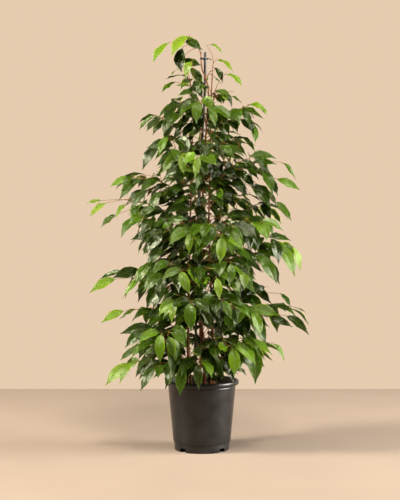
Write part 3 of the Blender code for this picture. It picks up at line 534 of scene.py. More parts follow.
def outward_from_axis(point):
    away = flat(point)
    return away.normalized() if away.length > 1e-6 else Vector((0, -1, 0))


def millimetre_path(points):
    return [Vector(point) * MM for point in points]


def at_height(path, height):
    """The point of an upward path at this height."""
    for low, high in zip(path, path[1:]):
        if low.z <= height <= high.z:
            return low.lerp(high, (height - low.z) / (high.z - low.z))
    return path[-1].copy()


def along(path, share):
    """(point, direction) at this share of a polyline's length."""
    lengths = [(b - a).length for a, b in zip(path, path[1:])]
    left = share * sum(lengths)
    for a, b, length in zip(path, path[1:], lengths):
        if left <= length:
            return a.lerp(b, left / length), (b - a).normalized()
        left -= length
    return path[-1].copy(), (path[-1] - path[-2]).normalized()


def length_of(path):
    return sum((b - a).length for a, b in zip(path, path[1:]))


def shares_of(path):
    """Each point's share of the way along its polyline."""
    run = [0]
    for a, b in zip(path, path[1:]):
        run.append(run[-1] + (b - a).length)
    return [distance / run[-1] for distance in run]


class Curve:
    """A smooth line through the points of a polyline."""

    def __init__(self, path):
        self.path = path
        self.spans = [(b - a).length for a, b in zip(path, path[1:])]
        slopes = [(b - a) / span for a, b, span in zip(path, path[1:], self.spans)]
        pairs = zip(slopes, slopes[1:], self.spans, self.spans[1:])
        inner = [(before * late + after * early) / (early + late) for before, after, early, late in pairs]
        self.tangents = [slopes[0], *inner, slopes[-1]]

    def in_span(self, index, t):
        start, end, span = self.path[index], self.path[index + 1], self.spans[index]
        lead, trail = self.tangents[index] * span, self.tangents[index + 1] * span
        s = 1 - t
        ends = start * (s * s * (1 + 2 * t)) + end * (t * t * (3 - 2 * t))
        return ends + lead * (t * s * s) - trail * (t * t * s)

    def at(self, share):
        left = share * sum(self.spans)
        for index, span in enumerate(self.spans):
            if left <= span:
                return self.in_span(index, left / span)
            left -= span
        return self.path[-1].copy()

    def points(self, spacing):
        """(share, point) pairs about this far apart."""
        count = max(2, round(sum(self.spans) / spacing))
        return [(step / count, self.at(step / count)) for step in range(count + 1)]


class Upright(Curve):
    """A smooth line that only climbs."""

    def at_z(self, height):
        for index, (low, high) in enumerate(zip(self.path, self.path[1:])):
            if low.z <= height <= high.z:
                return self.in_span(index, (height - low.z) / (high.z - low.z))
        return self.path[-1].copy()


# Growth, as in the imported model


class Stem(Upright):
    """A stem: the line through its points, and its radii at the foot and at the top."""

    def __init__(self, points, radii):
        super().__init__(millimetre_path(points))
        self.radii = radii

    def radius_at(self, height):
        low, high = self.path[0].z, self.path[-1].z
        share = min(1, max(0, (height - low) / (high - low)))
        return self.radii[0] + (self.radii[1] - self.radii[0]) * share


def stems_and_cane():
    """{name: stem} and the cane's line."""
    return {name: Stem(**facts) for name, facts in STEMS.items()}, Upright(millimetre_path(CANE_PATH))


def arch(root, tip, rise, fall, segments):
    """A shoot that leaves its root and reaches its tip at these angles to the straight line between."""
    line = tip - root
    outward = outward_from_axis(line)
    slope = math.atan2(line.z, flat(line).length)
    climb, dip = min(slope + rise, STEEPEST), max(slope - fall, LOWEST)
    handle = line.length * HANDLE_SHARE
    first = root + (outward * math.cos(climb) + UP * math.sin(climb)) * handle
    second = tip - (outward * math.cos(dip) + UP * math.sin(dip)) * handle
    path = []
    for step in range(segments + 1):
        t = step / segments
        s = 1 - t
        path.append(root * s**3 + first * (3 * s * s * t) + second * (3 * s * t * t) + tip * t**3)
    return path


def prism(path, radius_at, sides=4):
    """Points and faces of a simple closed tube along a path, for clearance tests."""
    points, faces = [], []
    shares = shares_of(path)
    for index, place in enumerate(path):
        ahead = path[min(index + 1, len(path) - 1)] - path[max(index - 1, 0)]
        reference = Vector((0.31, 0.95, 0)) if abs(ahead.normalized().z) > 0.9 else UP
        across = ahead.cross(reference).normalized()
        over = across.cross(ahead).normalized()
        for side in range(sides):
            turn = 2 * math.pi * side / sides
            offset = across * math.cos(turn) + over * math.sin(turn)
            points.append(place + offset * radius_at(shares[index]))
    for low in range(0, len(points) - sides, sides):
        for side in range(sides):
            beside = (side + 1) % sides
            faces.append((low + side, low + beside, low + sides + beside, low + sides + side))
    faces.append(tuple(reversed(range(sides))))
    faces.append(tuple(range(len(points) - sides, len(points))))
    return points, faces


class Thicket:
    """Everything already placed, so that a new twig or leaf can be kept clear of it."""

    def __init__(self):
        self.owners, self.trees = [], []
        self.lows, self.highs = np.empty((8192, 3)), np.empty((8192, 3))

    def add(self, owner, points, faces):
        count = len(self.owners)
        self.lows[count], self.highs[count] = box_of(points)
        self.owners.append(owner)
        self.trees.append(BVHTree.FromPolygons(points, faces))

    def take(self, owner, leaf):
        """Adds a leaf and returns True, if it is in reach and only its stalk touches its own branch."""
        if not all(REACH[0][axis] < leaf.line[-1][axis] < REACH[1][axis] for axis in range(3)):
            return False
        blade, stalk = leaf.envelope(), leaf.stalk()
        if self.meets(*blade) or self.meets(*stalk, leave_out=owner):
            return False
        self.add(owner, *blade)
        self.add(owner, *stalk)
        return True

    def take_shoot(self, owner, twig, leave_out=None):
        """Adds a shoot and returns True, if it touches nothing but its own branch or what is left out."""
        shape = twig.shape()
        if self.meets(*shape, leave_out=leave_out or owner):
            return False
        self.add(owner, *shape)
        return True

    def meets(self, points, faces, leave_out=None):
        """True if the shape touches anything placed, apart from one owner's."""
        low, high = box_of(points)
        count = len(self.owners)
        near = np.nonzero(((self.lows[:count] <= high) & (self.highs[:count] >= low)).all(axis=1))[0]
        if not len(near):
            return False
        tree = BVHTree.FromPolygons(points, faces)
        return any(self.owners[index] != leave_out and tree.overlap(self.trees[index]) for index in near)


def box_of(points):
    columns = list(zip(*points))
    return [min(column) for column in columns], [max(column) for column in columns]


class Leaf:
    """One leaf. Its stalk leaves the twig along start, and the blade bends over to hang along hang."""

    def __init__(self, root, start, hang, facing, length, width):
        self.root, self.start, self.hang, self.facing = root, start, hang, facing
        self.length, self.width = length, width
        self.shift = Vector()
        self.lay_out()

    def lay_out(self):
        """Works out the points of the leaf's middle line, from the twig to the tip."""
        self.line = [self.root]
        for step in range(PATH_STEPS):
            ahead = self.direction((step + 0.5) / PATH_STEPS) * (self.length / PATH_STEPS)
            self.line.append(self.line[-1] + ahead)

    def direction(self, share):
        bend = 1 - (1 - share) ** 2.2
        return self.start.lerp(self.hang, bend).normalized()

    def station(self, share):
        """(centre, across, normal) at this share of the way from the twig to the leaf's tip."""
        step = min(int(share * PATH_STEPS), PATH_STEPS - 1)
        centre = self.line[step].lerp(self.line[step + 1], share * PATH_STEPS - step)
        direction = self.direction(share)
        across = direction.cross(self.facing).normalized()
        return centre, across, across.cross(direction).normalized()

    def section(self, share, half_width):
        """The middle of a blade's section, the vector from there to its right edge, and its normal."""
        centre, across, normal = self.station(share)
        return centre + normal * half_width * math.sin(PACKED_FOLD) / 2, across * half_width, normal

    def stalk(self):
        """Points and faces of the stalk, for clearance tests."""
        path = [self.station(share)[0] for share in (0, 0.05, 0.10)]
        return prism(path, lambda share: (1 + 2.5 * share) * MM)

    def envelope(self):
        """Points and faces of a closed shape a little larger than the blade, for clearance tests."""
        points, faces = [], [(3, 2, 1, 0), (16, 17, 18, 19)]
        for share, half_width in (*((share, self.width * part) for share, part in ENVELOPE), (1, 1 * MM)):
            middle, out, normal = self.section(share, half_width)
            thick = normal * CLEARANCE
            points += [middle - out + thick, middle + out + thick]
            points += [middle + out - thick, middle - out - thick]
        for low in range(0, 16, 4):
            for k, after in zip(range(4), (1, 2, 3, 0)):
                faces.append((low + k, low + after, low + 4 + after, low + 4 + k))
        return points, faces


class Twig:
    """A shoot: its path, its end radii, the bare share next to its root, and its end leaf's tip."""

    def __init__(self, path, radii, bare=0, leaf_tip=None, freshness=0):
        self.path, self.radii, self.bare, self.leaf_tip = path, radii, bare, leaf_tip
        self.freshness = freshness
        self.leafy_to = 1
        self.curve = Curve(path)
        self.shift = Vector()
        self.grip = None

    def shape(self):
        thin, thick = self.radii[1], self.radii[0]
        return prism(self.path, lambda share: thick + (thin - thick) * share + 0.5 * MM * (share > 0.05), 6)

    def smooth_at(self, share):
        """The finished shoot's point at this share. It springs from its own branch's smooth line."""
        return self.curve.at(share) + self.shift * (1 - share) ** 2


def jitter(rng, amount):
    return Vector([rng.uniform(-amount, amount) for _ in range(3)])


def front_of(place):
    """To the front, unless the place is at the back."""
    return Vector((0, -1, 0)) * min(1, max(0, (BACK_FROM - place.y) / BACK_FADE))


def crown_share(place):
    """0 below the crown, 1 from its lower leaves up."""
    return min(1, max(0, (place.z - CROWN_FROM) / (CROWN_FULL - CROWN_FROM)))


def upper_side(place):
    """Which way a leaf's upper side turns: up, outwards, and to the front unless it is at the back."""
    crown = crown_share(place)
    forwards = front_of(place) * (0.7 - 0.2 * crown)
    return outward_from_axis(place) * 0.45 + UP * (0.5 + 0.4 * crown) + forwards


def sideways(ahead, outward, side):
    """To one side of a shoot, level. Beside an upright shoot it is round the plant."""
    lateral = ahead.cross(UP)
    return (lateral.normalized() if lateral.length > 0.1 else outward.cross(UP).normalized()) * side


def leaf_on(rng, twig, share, root, ways, blade):
    """A leaf at this share of a shoot, with the ways it starts, hangs and faces, and its blade's length."""
    width = blade * LEAF_WIDTH_SHARE * rng.uniform(0.9, 1.1)
    leaf = Leaf(root, *(way.normalized() for way in ways), blade + PETIOLE, width)
    leaf.shift = twig.smooth_at(share) - root
    return leaf


def leaf_beside(rng, twig, share, side, height_share):
    """Draws a leaf for one side of a twig at this share of its length."""
    root, ahead = along(twig.path, share)
    outward = outward_from_axis(root)
    lateral = sideways(ahead, outward, side)
    start = ahead * 0.5 + lateral * 0.8 + UP * 0.3 + jitter(rng, 0.15)
    hang = outward * rng.uniform(0.15, 0.7) + lateral * rng.uniform(0.1, 0.8)
    hang += ahead * rng.uniform(0.1, 0.6)
    hang += jitter(rng, 0.2) - UP * rng.uniform(0.5, 1.5)
    facing = upper_side(root) + lateral * 0.3 + jitter(rng, 0.45)
    youth = max(0.0, (share - 0.7) / 0.3)
    blade = LEAF_LENGTH * rng.uniform(0.82, 1.18) * (1 - 0.2 * youth) * (1.12 - 0.28 * height_share)
    return leaf_on(rng, twig, share, root, (start, hang, facing), blade)


def leaf_at_end(rng, twig):
    """The leaf that a shoot ends in, from the shoot's end to the given tip."""
    end, ahead = along(twig.path, 1)
    root = end - ahead * 2 * MM
    chord = twig.leaf_tip - root
    start = (ahead * 0.5 + UP * 0.25 + chord.normalized() * 0.8).normalized()
    hang = (chord.normalized() * 1.6 - start * 0.6).normalized()
    facing = (upper_side(end) + front_of(end) * 0.4 + jitter(rng, 0.2)).normalized()
    width = (chord.length - PETIOLE) * LEAF_WIDTH_SHARE * rng.uniform(0.95, 1.1)
    leaf = Leaf(root, start, hang, facing, chord.length, width)
    reach = leaf.line[-1] - root
    turn = reach.rotation_difference(chord)
    leaf.start, leaf.hang = turn @ start, turn @ hang
    leaf.length *= chord.length / reach.length
    leaf.lay_out()
    return leaf


def main_shoot(stem, height, tip, leaf_tip, freshness, thicket):
    """A branch's own shoot, swung or raised a little where it would cross something."""
    at_top = height > stem.path[-1].z - 2 * MM
    for attempt in range(MAIN_TRIES):
        swing = math.radians(SWING_STEP * ((attempt + 1) // 2) * (1 if attempt % 2 else -1))
        level = height + RAISE_STEP * (attempt % 3) * (not at_top)
        axis = at_height(stem.path, level)
        aim = axis + Quaternion(UP, swing) @ (tip - axis)
        towards = outward_from_axis(aim - axis)
        rise = math.radians(70) if at_top else RISE * min(1, (aim - axis).length / (220 * MM))
        climb = min(math.atan2(aim.z - level, flat(aim - axis).length) + rise, STEEPEST)
        off = stem.radius_at(level) + TWIG_RADII[0] * math.sin(climb) + SEAT_GAP
        root = stem.path[-1] + UP * (SEAT_GAP + TWIG_RADII[0]) if at_top else axis + towards * off
        twig = Twig(arch(root, aim, rise, FALL, TWIG_SEGMENTS), TWIG_RADII, BARE_ROOT, leaf_tip, freshness)
        twig.grip = axis
        if not thicket.meets(*twig.shape()):
            break
    return twig


def side_shoot(main, share, tip, rise, leaf_tip, freshness):
    """A side shoot from this share of the main one to its tip. It moves with the main one's smooth line."""
    root, _ = along(main.path, share)
    path = arch(root, tip, rise, FALL, SIDE_TWIG_SEGMENTS)
    side = Twig(path, SIDE_TWIG_RADII, SIDE_BARE_ROOT, leaf_tip, freshness)
    side.shift = main.smooth_at(share) - root
    return side


def given_side_shoot(main, tip, leaf_tip, freshness):
    """A side shoot to a given end, from the point of the main shoot that lies about halfway back."""
    halfway = main.path[0].lerp(tip, 0.5)
    shares = [0.2 + 0.05 * step for step in range(15)]
    share = min(shares, key=lambda s: (along(main.path, s)[0] - halfway).length)
    return side_shoot(main, share, tip, RISE * 0.7, leaf_tip, freshness)


def drawn_side_shoot(rng, main, share, side):
    root, ahead = along(main.path, share)
    lateral = ahead.cross(UP).normalized() * side
    reach = SIDE_TWIG_LENGTH * rng.uniform(0.75, 1.2)
    tip = root + (ahead * rng.uniform(0.4, 0.7) + lateral * rng.uniform(0.6, 0.9)) * reach
    tip.z = root.z + reach * rng.uniform(-0.1, 0.35)
    return side_shoot(main, share, tip, RISE, None, main.freshness * 0.8)


def grow_twigs(stems, thicket):
    """Every branch as its name and its shoots, the main one first."""
    grown = []
    for number, (stem_name, height, shoots, *leafy_to) in enumerate(BRANCHES, 1):
        name = f"branch_{number:02d}"
        first, *others = [
            (Vector(tip) * MM, Vector(leaf_tip) * MM, fresh) for tip, leaf_tip, fresh in shoots
        ]
        main = main_shoot(stems[stem_name], height * MM, *first, thicket)
        main.leafy_to = leafy_to[0] if leafy_to else 1
        thicket.add(name, *main.shape())
        grown.append((name, [main], others))
    for name, twigs, others in grown:
        main = twigs[0]
        for tip, leaf_tip, fresh in others:
            side = given_side_shoot(main, tip, leaf_tip, fresh)
            side.leafy_to = main.leafy_to
            if thicket.take_shoot(name, side):
                twigs.append(side)
    return [(name, twigs) for name, twigs, _ in grown]


def end_leaves(grown, thicket):
    """{branch name: leaves} with the leaf that each given shoot ends in."""
    leaves = {name: [] for name, _ in grown}
    for name, twigs in grown:
        for order, twig in enumerate(twigs):
            if not twig.leaf_tip:
                continue
            for attempt in range(LEAF_TRIES):
                leaf = leaf_at_end(random.Random(f"{SEED} {name} {order} end {attempt}"), twig)
                if thicket.take(name, leaf):
                    leaf.freshness = twig.freshness
                    leaves[name].append(leaf)
                    break
    return leaves


def more_side_shoots(grown, thicket):
    """Draws further side shoots for the branches that are long for their number of shoots."""
    for name, twigs in grown:
        main = twigs[0]
        rng = random.Random(f"{SEED} {name}")
        places = max(0, round(length_of(main.path) * main.leafy_to / SIDE_TWIG_EVERY) - len(twigs) + 1)
        for place in range(places):
            for _ in range(LEAF_TRIES):
                share = 0.25 + 0.55 * main.leafy_to * (place + rng.uniform(0.2, 0.8)) / places
                side = drawn_side_shoot(rng, main, share, 1 if place % 2 else -1)
                if thicket.take_shoot(name, side):
                    twigs.append(side)
                    break


def stem_shoots(stems, thicket):
    """Short shoots all the way up each stem, as (stem name, shoots) pairs."""
    grown = []
    for name, stem in stems.items():
        shoots = []
        for place in range(int((stem.path[-1].z - STEM_SHOOT_FROM) / STEM_SHOOT_EVERY)):
            rng = random.Random(f"{SEED} {name} stem shoot {place}")
            for _ in range(FILL_TRIES):
                height = STEM_SHOOT_FROM + STEM_SHOOT_EVERY * (place + rng.random())
                grip = stem.at_z(height)
                away = Quaternion(UP, TURN_ON * place + rng.uniform(-0.6, 0.6)) @ Vector((1, 0, 0))
                reach = rng.uniform(*STEM_SHOOT_REACH) * (1.15 - 0.5 * height / POT_HEIGHT / 6)
                root = grip + away * (stem.radius_at(height) + SIDE_TWIG_RADII[0])
                tip = root + away * reach + UP * reach * rng.uniform(0.1, 0.55)
                path = arch(root, tip, RISE, FALL, 3)
                twig = Twig(path, SIDE_TWIG_RADII, 0.25, None, rng.uniform(0, 0.25))
                twig.grip = grip
                if thicket.take_shoot(name, twig):
                    shoots.append(twig)
                    break
        grown.append((name, shoots))
    return grown


def base_shoots(thicket):
    """Thin young stems that come up from the soil round the old ones."""
    shoots = []
    for place in range(BASE_SHOOTS):
        rng = random.Random(f"{SEED} base shoot {place}")
        for _ in range(FILL_TRIES):
            away = Quaternion(UP, TURN_ON * place + rng.uniform(-0.5, 0.5)) @ Vector((1, 0, 0))
            foot = away * rng.uniform(16, 50) * MM + UP * 150 * MM
            lean = away * rng.uniform(-10, 35) * MM + UP * rng.uniform(150, 290) * MM
            path = [foot + lean * step / 5 + flat(jitter(rng, 2.5 * MM)) for step in range(6)]
            twig = Twig(path, BASE_SHOOT_RADII)
            if thicket.take_shoot("base", twig, leave_out="pot"):
                shoots.append(twig)
                break
    return shoots


def fill_shoots(grown, thicket):
    """Further side shoots along every branch, turned all ways, as (branch name, shoots) pairs."""
    filled = []
    for name, twigs in grown:
        main, shoots = twigs[0], []
        count = round(length_of(main.path) * main.leafy_to / FILL_SHOOT_EVERY)
        for place in range(count):
            rng = random.Random(f"{SEED} {name} fill {place}")
            for _ in range(FILL_TRIES):
                share = 0.08 + 0.86 * main.leafy_to * (place + rng.random()) / count
                root, ahead = along(main.path, share)
                lateral = ahead.cross(UP).normalized()
                over = lateral.cross(ahead).normalized()
                turn = rng.uniform(0, 2 * math.pi)
                out = lateral * math.cos(turn) + over * math.sin(turn) * 0.8
                reach = rng.uniform(*FILL_SHOOT_REACH) * (1 - 0.35 * share)
                tip = root + (ahead * rng.uniform(0.3, 0.8) + out * rng.uniform(0.6, 0.9)) * reach
                rise = RISE * rng.uniform(0, 1)
                twig = side_shoot(main, share, tip, rise, None, main.freshness * rng.uniform(0.2, 0.8))
                if thicket.take_shoot(name, twig):
                    shoots.append(twig)
                    break
        filled.append((name, shoots))
    return filled


def free_leaf(rng, twig, share, side, size):
    """Draws a leaf that may turn any way its place allows, for the shoots that fill the plant."""
    root, ahead = along(twig.path, share)
    outward = outward_from_axis(root)
    lateral = sideways(ahead, outward, side)
    start = ahead * rng.uniform(0.3, 0.9) + lateral * 0.7 + UP * rng.uniform(-0.1, 0.5) + jitter(rng, 0.2)
    hang = outward * rng.uniform(0, 0.8) + lateral * rng.uniform(0.1, 0.9) + ahead * rng.uniform(0, 0.8)
    hang += jitter(rng, 0.3) - UP * rng.uniform(0.25, 1.5)
    facing = upper_side(root) + lateral * 0.3 + jitter(rng, 0.6)
    blade = LEAF_LENGTH * size * rng.uniform(0.6, 1.05) * (1.12 - 0.28 * root.z)
    return leaf_on(rng, twig, share, root, (start, hang, facing), blade)


def fill_reach(height):
    """How far from the axis a filling leaf may reach at this height."""
    for (low, inner), (high, outer) in zip(FILL_REACH, FILL_REACH[1:]):
        if height <= high:
            return inner + (outer - inner) * max(0, height - low) / (high - low)
    return FILL_REACH[-1][1]


def fill_leaves(filled, leaves, thicket):
    """Leaves along the further shoots, wherever there is room. A shoot that bears none is dropped."""
    for name, twigs in filled:
        own, bearing = leaves.setdefault(name, []), []
        for order, twig in enumerate(twigs):
            before = len(own)
            count = max(2, round(length_of(twig.path) * (1 - twig.bare) / FILL_LEAF_STEP))
            for place in range(count):
                share = 1 - (1 - twig.bare) * (place + 0.1) / count
                rng = random.Random(f"{SEED} {name} filled {order} {place}")
                for attempt in range(FILL_TRIES):
                    size = 1 - 0.045 * attempt
                    leaf = free_leaf(rng, twig, share, 1 if (place + order) % 2 else -1, size)
                    if any(flat(spot).length > fill_reach(spot.z) for spot in leaf.line[6::6]):
                        continue
                    if thicket.take(name, leaf):
                        leaf.freshness = twig.freshness * (0.4 + 0.6 * share)
                        own.append(leaf)
                        break
            if len(own) > before:
                bearing.append(twig)
        twigs[:] = bearing


def side_leaves(grown, leaves, thicket, places):
    """Adds a leaf at the given places along each shoot, where one finds room."""
    top = max(twig.path[-1].z for _, twigs in grown for twig in twigs)
    for name, twigs in grown:
        for order, twig in enumerate(twigs):
            count = max(2, round(length_of(twig.path) * (1 - twig.bare) / LEAF_STEP))
            for place in places(count):
                share = 1 - (1 - twig.bare) * (place + 0.5) / count
                if share > twig.leafy_to:
                    continue
                side = 1 if (place + order) % 2 else -1
                rng = random.Random(f"{SEED} {name} {order} {place}")
                for _ in range(LEAF_TRIES):
                    leaf = leaf_beside(rng, twig, share, side, twig.path[-1].z / top)
                    if thicket.take(name, leaf):
                        leaf.freshness = twig.freshness * (0.35 + 0.6 * max(0.0, (share - 0.4) / 0.6))
                        leaves[name].append(leaf)
                        break


def obstacles(stems, cane):
    """The thicket of everything that the branches grow among."""
    thicket = Thicket()
    rim = [Vector((0, 0, 0)), Vector((0, 0, POT_HEIGHT))]
    thicket.add("pot", *prism(rim, lambda _: RIM_RADIUS + 1 * MM, 24))
    thicket.add("cane", *prism(cane.path, lambda _: CANE_RADIUS * 1.1, 8))
    for name, stem in stems.items():
        low, high = stem.radii
        thicket.add(name, *prism(stem.path, lambda t: low + (high - low) * t + SEAT_GAP / 2, 8))
    for height in TIE_HEIGHTS:
        post, shoot = at_height(cane.path, height), at_height(stems["leader"].path, height)
        forward = flat(shoot - post).normalized()
        past = forward * (CANE_RADIUS + TIE_TAIL + 2 * MM)
        reach = [post - past, post - forward * 6.5 * MM]
        reach += [post - forward * 6 * MM, shoot + forward * 6 * MM]
        thicket.add("tie", *prism(reach, lambda t: (2.5 if t < 0.5 else 6.5) * MM, 6))
    return thicket


# Finishes


def shade(colour, factor, lift=0):
    """A darker or lighter shade of a colour."""
    return tuple(min(1, channel * factor + lift) for channel in colour)


class Nodes:
    """A node tree, with short calls to add and link its nodes."""

    def __init__(self, tree):
        self.tree = tree

    def feed(self, socket, value):
        """Links another node's output to a socket, or gives the socket a value."""
        if isinstance(value, bpy.types.NodeSocket):
            self.tree.links.new(value, socket)
        else:
            socket.default_value = value

    def add(self, kind, inputs=(), **settings):
        """Adds a node. Its inputs are values or other nodes' outputs, by socket name or number."""
        node = self.tree.nodes.new("ShaderNode" + kind)
        for key, value in settings.items():
            setattr(node, key, value)
        for key, value in dict(inputs).items():
            self.feed(node.inputs[key], value)
        return node

    def attribute(self, name):
        return self.add("Attribute", attribute_name=name).outputs["Fac"]

    def place(self, scale=(1, 1, 1)):
        """Object coordinates, scaled."""
        spot = self.add("TexCoord").outputs["Object"]
        return self.add("Mapping", {"Vector": spot, "Scale": scale}).outputs["Vector"]

    def noise(self, vector, scale, detail=3, rough=0.5):
        values = {"Vector": vector, "Scale": scale, "Detail": detail, "Roughness": rough}
        return self.add("TexNoise", values).outputs["Fac"]

    def mix(self, share, a, b):
        """Mixes two colours."""
        node = self.add("Mix", data_type="RGBA")
        for key, value in (("Factor", share), ("A", a), ("B", b)):
            socket = next(s for s in node.inputs if s.name == key and s.enabled)
            whole = key == "Factor" or isinstance(value, bpy.types.NodeSocket)
            self.feed(socket, value if whole else (*value, 1))
        return next(s for s in node.outputs if s.enabled)

    def maths(self, operation, a, b=0.0):
        return self.add("Math", {0: a, 1: b}, operation=operation).outputs[0]

    def times(self, a, b):
        return self.maths("MULTIPLY", a, b)

    def plus(self, a, b):
        return self.maths("ADD", a, b)

    def ranged(self, value, low, high, to_low=0.0, to_high=1.0):
        """A value that runs from low to high, brought to run between two others."""
        values = {"Value": value, "From Min": low, "From Max": high, "To Min": to_low, "To Max": to_high}
        return self.add("MapRange", values).outputs["Result"]

    def ramp(self, value, stops):
        node = self.add("ValToRGB", {"Fac": value})
        elements = node.color_ramp.elements
        for _ in stops[2:]:
            elements.new(0.5)
        for element, (place, colour) in zip(elements, stops):
            element.position = place
            element.color = (*colour, 1)
        return node.outputs["Color"]


class Finish(Nodes):
    """A material's nodes, with short calls for what its shader shows."""

    def __init__(self, name, **shader_values):
        self.material = bpy.data.materials.new(name)
        self.material.use_nodes = True
        super().__init__(self.material.node_tree)
        self.shader = self.tree.nodes["Principled BSDF"]
        for socket, value in shader_values.items():
            self.feed(self.shader.inputs[socket.replace("_", " ")], value)

    def colour(self, value):
        self.feed(self.shader.inputs["Base Color"], value)

    def roughness(self, value):
        self.feed(self.shader.inputs["Roughness"], value)

    def bump(self, height, depth, strength=1.0):
        """Raises the surface by this depth in metres where the height is 1."""
        values = {"Height": height, "Distance": depth, "Strength": strength}
        self.feed(self.shader.inputs["Normal"], self.add("Bump", values).outputs["Normal"])


def pot_finish(colour):
    """Moulded charcoal plastic with fine lines round it and a faint grain."""
    nodes = Finish("pot_plastic", Specular_IOR_Level=0.45)
    around = nodes.place()
    lines = nodes.noise(nodes.place((6, 6, 900)), 1.0, 2)
    bands = nodes.noise(nodes.place((3, 3, 160)), 1.0, 3)
    grain = nodes.noise(around, 1600, 2)
    smudges = nodes.noise(around, 26, 3, 0.4)
    worn = nodes.mix(nodes.ranged(smudges, 0.35, 0.8), colour, shade(colour, 1.9, 0.008))
    nodes.colour(nodes.mix(nodes.ranged(bands, 0.45, 0.7, 0, 0.5), worn, shade(colour, 0.78)))
    nodes.roughness(nodes.ranged(nodes.plus(smudges, bands), 0.6, 1.4, 0.29, 0.38))
    nodes.bump(nodes.plus(nodes.times(lines, 0.7), nodes.times(grain, 0.3)), 0.35 * MM, 0.7)
    return nodes.material


def soil_finish(dark, warm):
    """Damp peat and bark, coloured chip by chip."""
    nodes = Finish("potting_soil")
    around = nodes.place()
    fibres = nodes.noise(around, 420, 4, 0.7)
    mottle = nodes.noise(around, 90, 3)
    share = nodes.plus(nodes.times(mottle, 0.35), nodes.times(nodes.attribute("warmth"), 0.8))
    base = nodes.mix(nodes.ranged(share, 0.15, 0.95), dark, warm)
    nodes.colour(nodes.mix(nodes.ranged(fibres, 0.62, 0.38, 0, 0.8), base, shade(dark, 0.35)))
    nodes.roughness(nodes.ranged(fibres, 0.3, 0.7, 0.7, 0.98))
    nodes.bump(fibres, 1.2 * MM, 0.9)
    return nodes.material


def bark_finish(name, bark, shoot):
    """Red-brown bark with pale pores and rings, tan and smooth on young shoots."""
    nodes = Finish(name, Specular_IOR_Level=0.2)
    streaks = nodes.noise(nodes.place((1, 1, 0.16)), 700, 3, 0.6)
    rings = nodes.noise(nodes.place((1, 1, 9)), 60, 2)
    pores = nodes.add("TexVoronoi", {"Vector": nodes.place((1, 1, 1.8)), "Scale": 330}).outputs["Distance"]
    old = nodes.mix(nodes.ranged(streaks, 0.35, 0.7), bark, shade(bark, 2.1))
    old = nodes.mix(nodes.ranged(rings, 0.58, 0.68, 0, 0.5), old, shade(bark, 0.5))
    old = nodes.mix(nodes.ranged(pores, 0.22, 0.12, 0, 0.7), old, shade(bark, 3, 0.03))
    mottle = nodes.noise(nodes.place(), 240, 2)
    young = nodes.mix(nodes.ranged(mottle, 0.4, 0.65), shoot, shade(shoot, 0.6))
    nodes.colour(nodes.mix(nodes.ranged(nodes.attribute("age"), 0.1, 0.75), young, old))
    nodes.roughness(nodes.ranged(streaks, 0.3, 0.7, 0.5, 0.75))
    nodes.bump(nodes.plus(streaks, nodes.times(pores, -0.4)), 0.25 * MM, 0.8)
    return nodes.material


def leaf_finish(look):
    """Waxy leaf, from old dark green to new lime, with midrib, side veins, a paler underside and painted
    shade inside the plant.
    """
    nodes = Finish(
        "leaf", Subsurface_Weight=0.4, Subsurface_Scale=1.5 * MM, Subsurface_Radius=(0.7, 1.0, 0.1),
        Specular_IOR_Level=0.3, Specular_Tint=(0.93, 1.0, 0.72, 1.0),
    )
    fresh, tone, under = (nodes.attribute(name) for name in ("freshness", "tone", "underside"))
    spot = nodes.add("SeparateXYZ", {"Vector": nodes.add("UVMap", uv_map="leaf").outputs["UV"]}).outputs
    aside = nodes.maths("ABSOLUTE", nodes.maths("SUBTRACT", spot["X"], 0.5))
    ahead = spot["Y"]
    around = nodes.place()
    base = nodes.ramp(fresh, ((0, look.old), (0.34, look.grown), (0.70, look.fresh), (1, look.lime)))
    # each leaf darkens towards a deeper old green by its tone: partly a random darker tone, partly painted
    # shade on the leaves inside the plant; fresh leaves darken less
    darkening_with_inner_shade = nodes.times(nodes.ranged(tone, 0.2, 0.8, 0, 0.92), nodes.ranged(fresh, 0.35, 0.9, 1, 0.15))
    darker = nodes.mix(darkening_with_inner_shade, base, shade(look.old, 0.6))
    base = nodes.mix(nodes.ranged(nodes.noise(around, 55, 3), 0.42, 0.75, 0, 0.3), darker, look.grown)
    # side veins run out from the midrib at a slant, a little unevenly
    slant = nodes.maths("SUBTRACT", nodes.times(ahead, 24), nodes.times(aside, 13))
    uneven = nodes.plus(slant, nodes.times(nodes.noise(around, 60, 1), 0.6))
    ripple = nodes.maths("COSINE", nodes.times(uneven, 2 * math.pi))
    on_blade = nodes.ranged(ahead, 0.12, 0.16)
    veins = nodes.times(nodes.ranged(ripple, 0.72, 1.0), on_blade)
    rib_width = nodes.ranged(ahead, 0.12, 0.95, 0.030, 0.008)
    rib = nodes.maths("SUBTRACT", 1.0, nodes.ranged(nodes.maths("DIVIDE", aside, rib_width), 0.5, 1.1))
    pale = nodes.mix(0.5, look.stalk, look.fresh)
    base = nodes.mix(nodes.times(veins, 0.16), base, pale)
    base = nodes.mix(nodes.times(rib, 0.55), base, pale)
    lower = nodes.mix(nodes.times(fresh, 0.5), look.under, look.fresh)
    ribbed = nodes.maths("MAXIMUM", rib, nodes.times(veins, 0.4))
    lower = nodes.mix(nodes.times(ribbed, 0.6), lower, look.stalk)
    base = nodes.mix(under, base, lower)
    nodes.colour(nodes.mix(nodes.ranged(ahead, 0.13, 0.10), base, look.stalk))
    shine = nodes.ranged(nodes.noise(around, 130, 3), 0.3, 0.7, 0.13, 0.23)
    dull = nodes.maths("MAXIMUM", nodes.times(under, 0.28), nodes.times(fresh, 0.16))
    nodes.roughness(nodes.plus(shine, dull))
    puckers = nodes.times(nodes.noise(around, 75, 1), 1.7)
    relief = nodes.maths("SUBTRACT", nodes.plus(nodes.times(ripple, -0.5), puckers), nodes.times(rib, 1.2))
    nodes.bump(nodes.times(relief, on_blade), 0.3 * MM, 0.9)
    return nodes.material


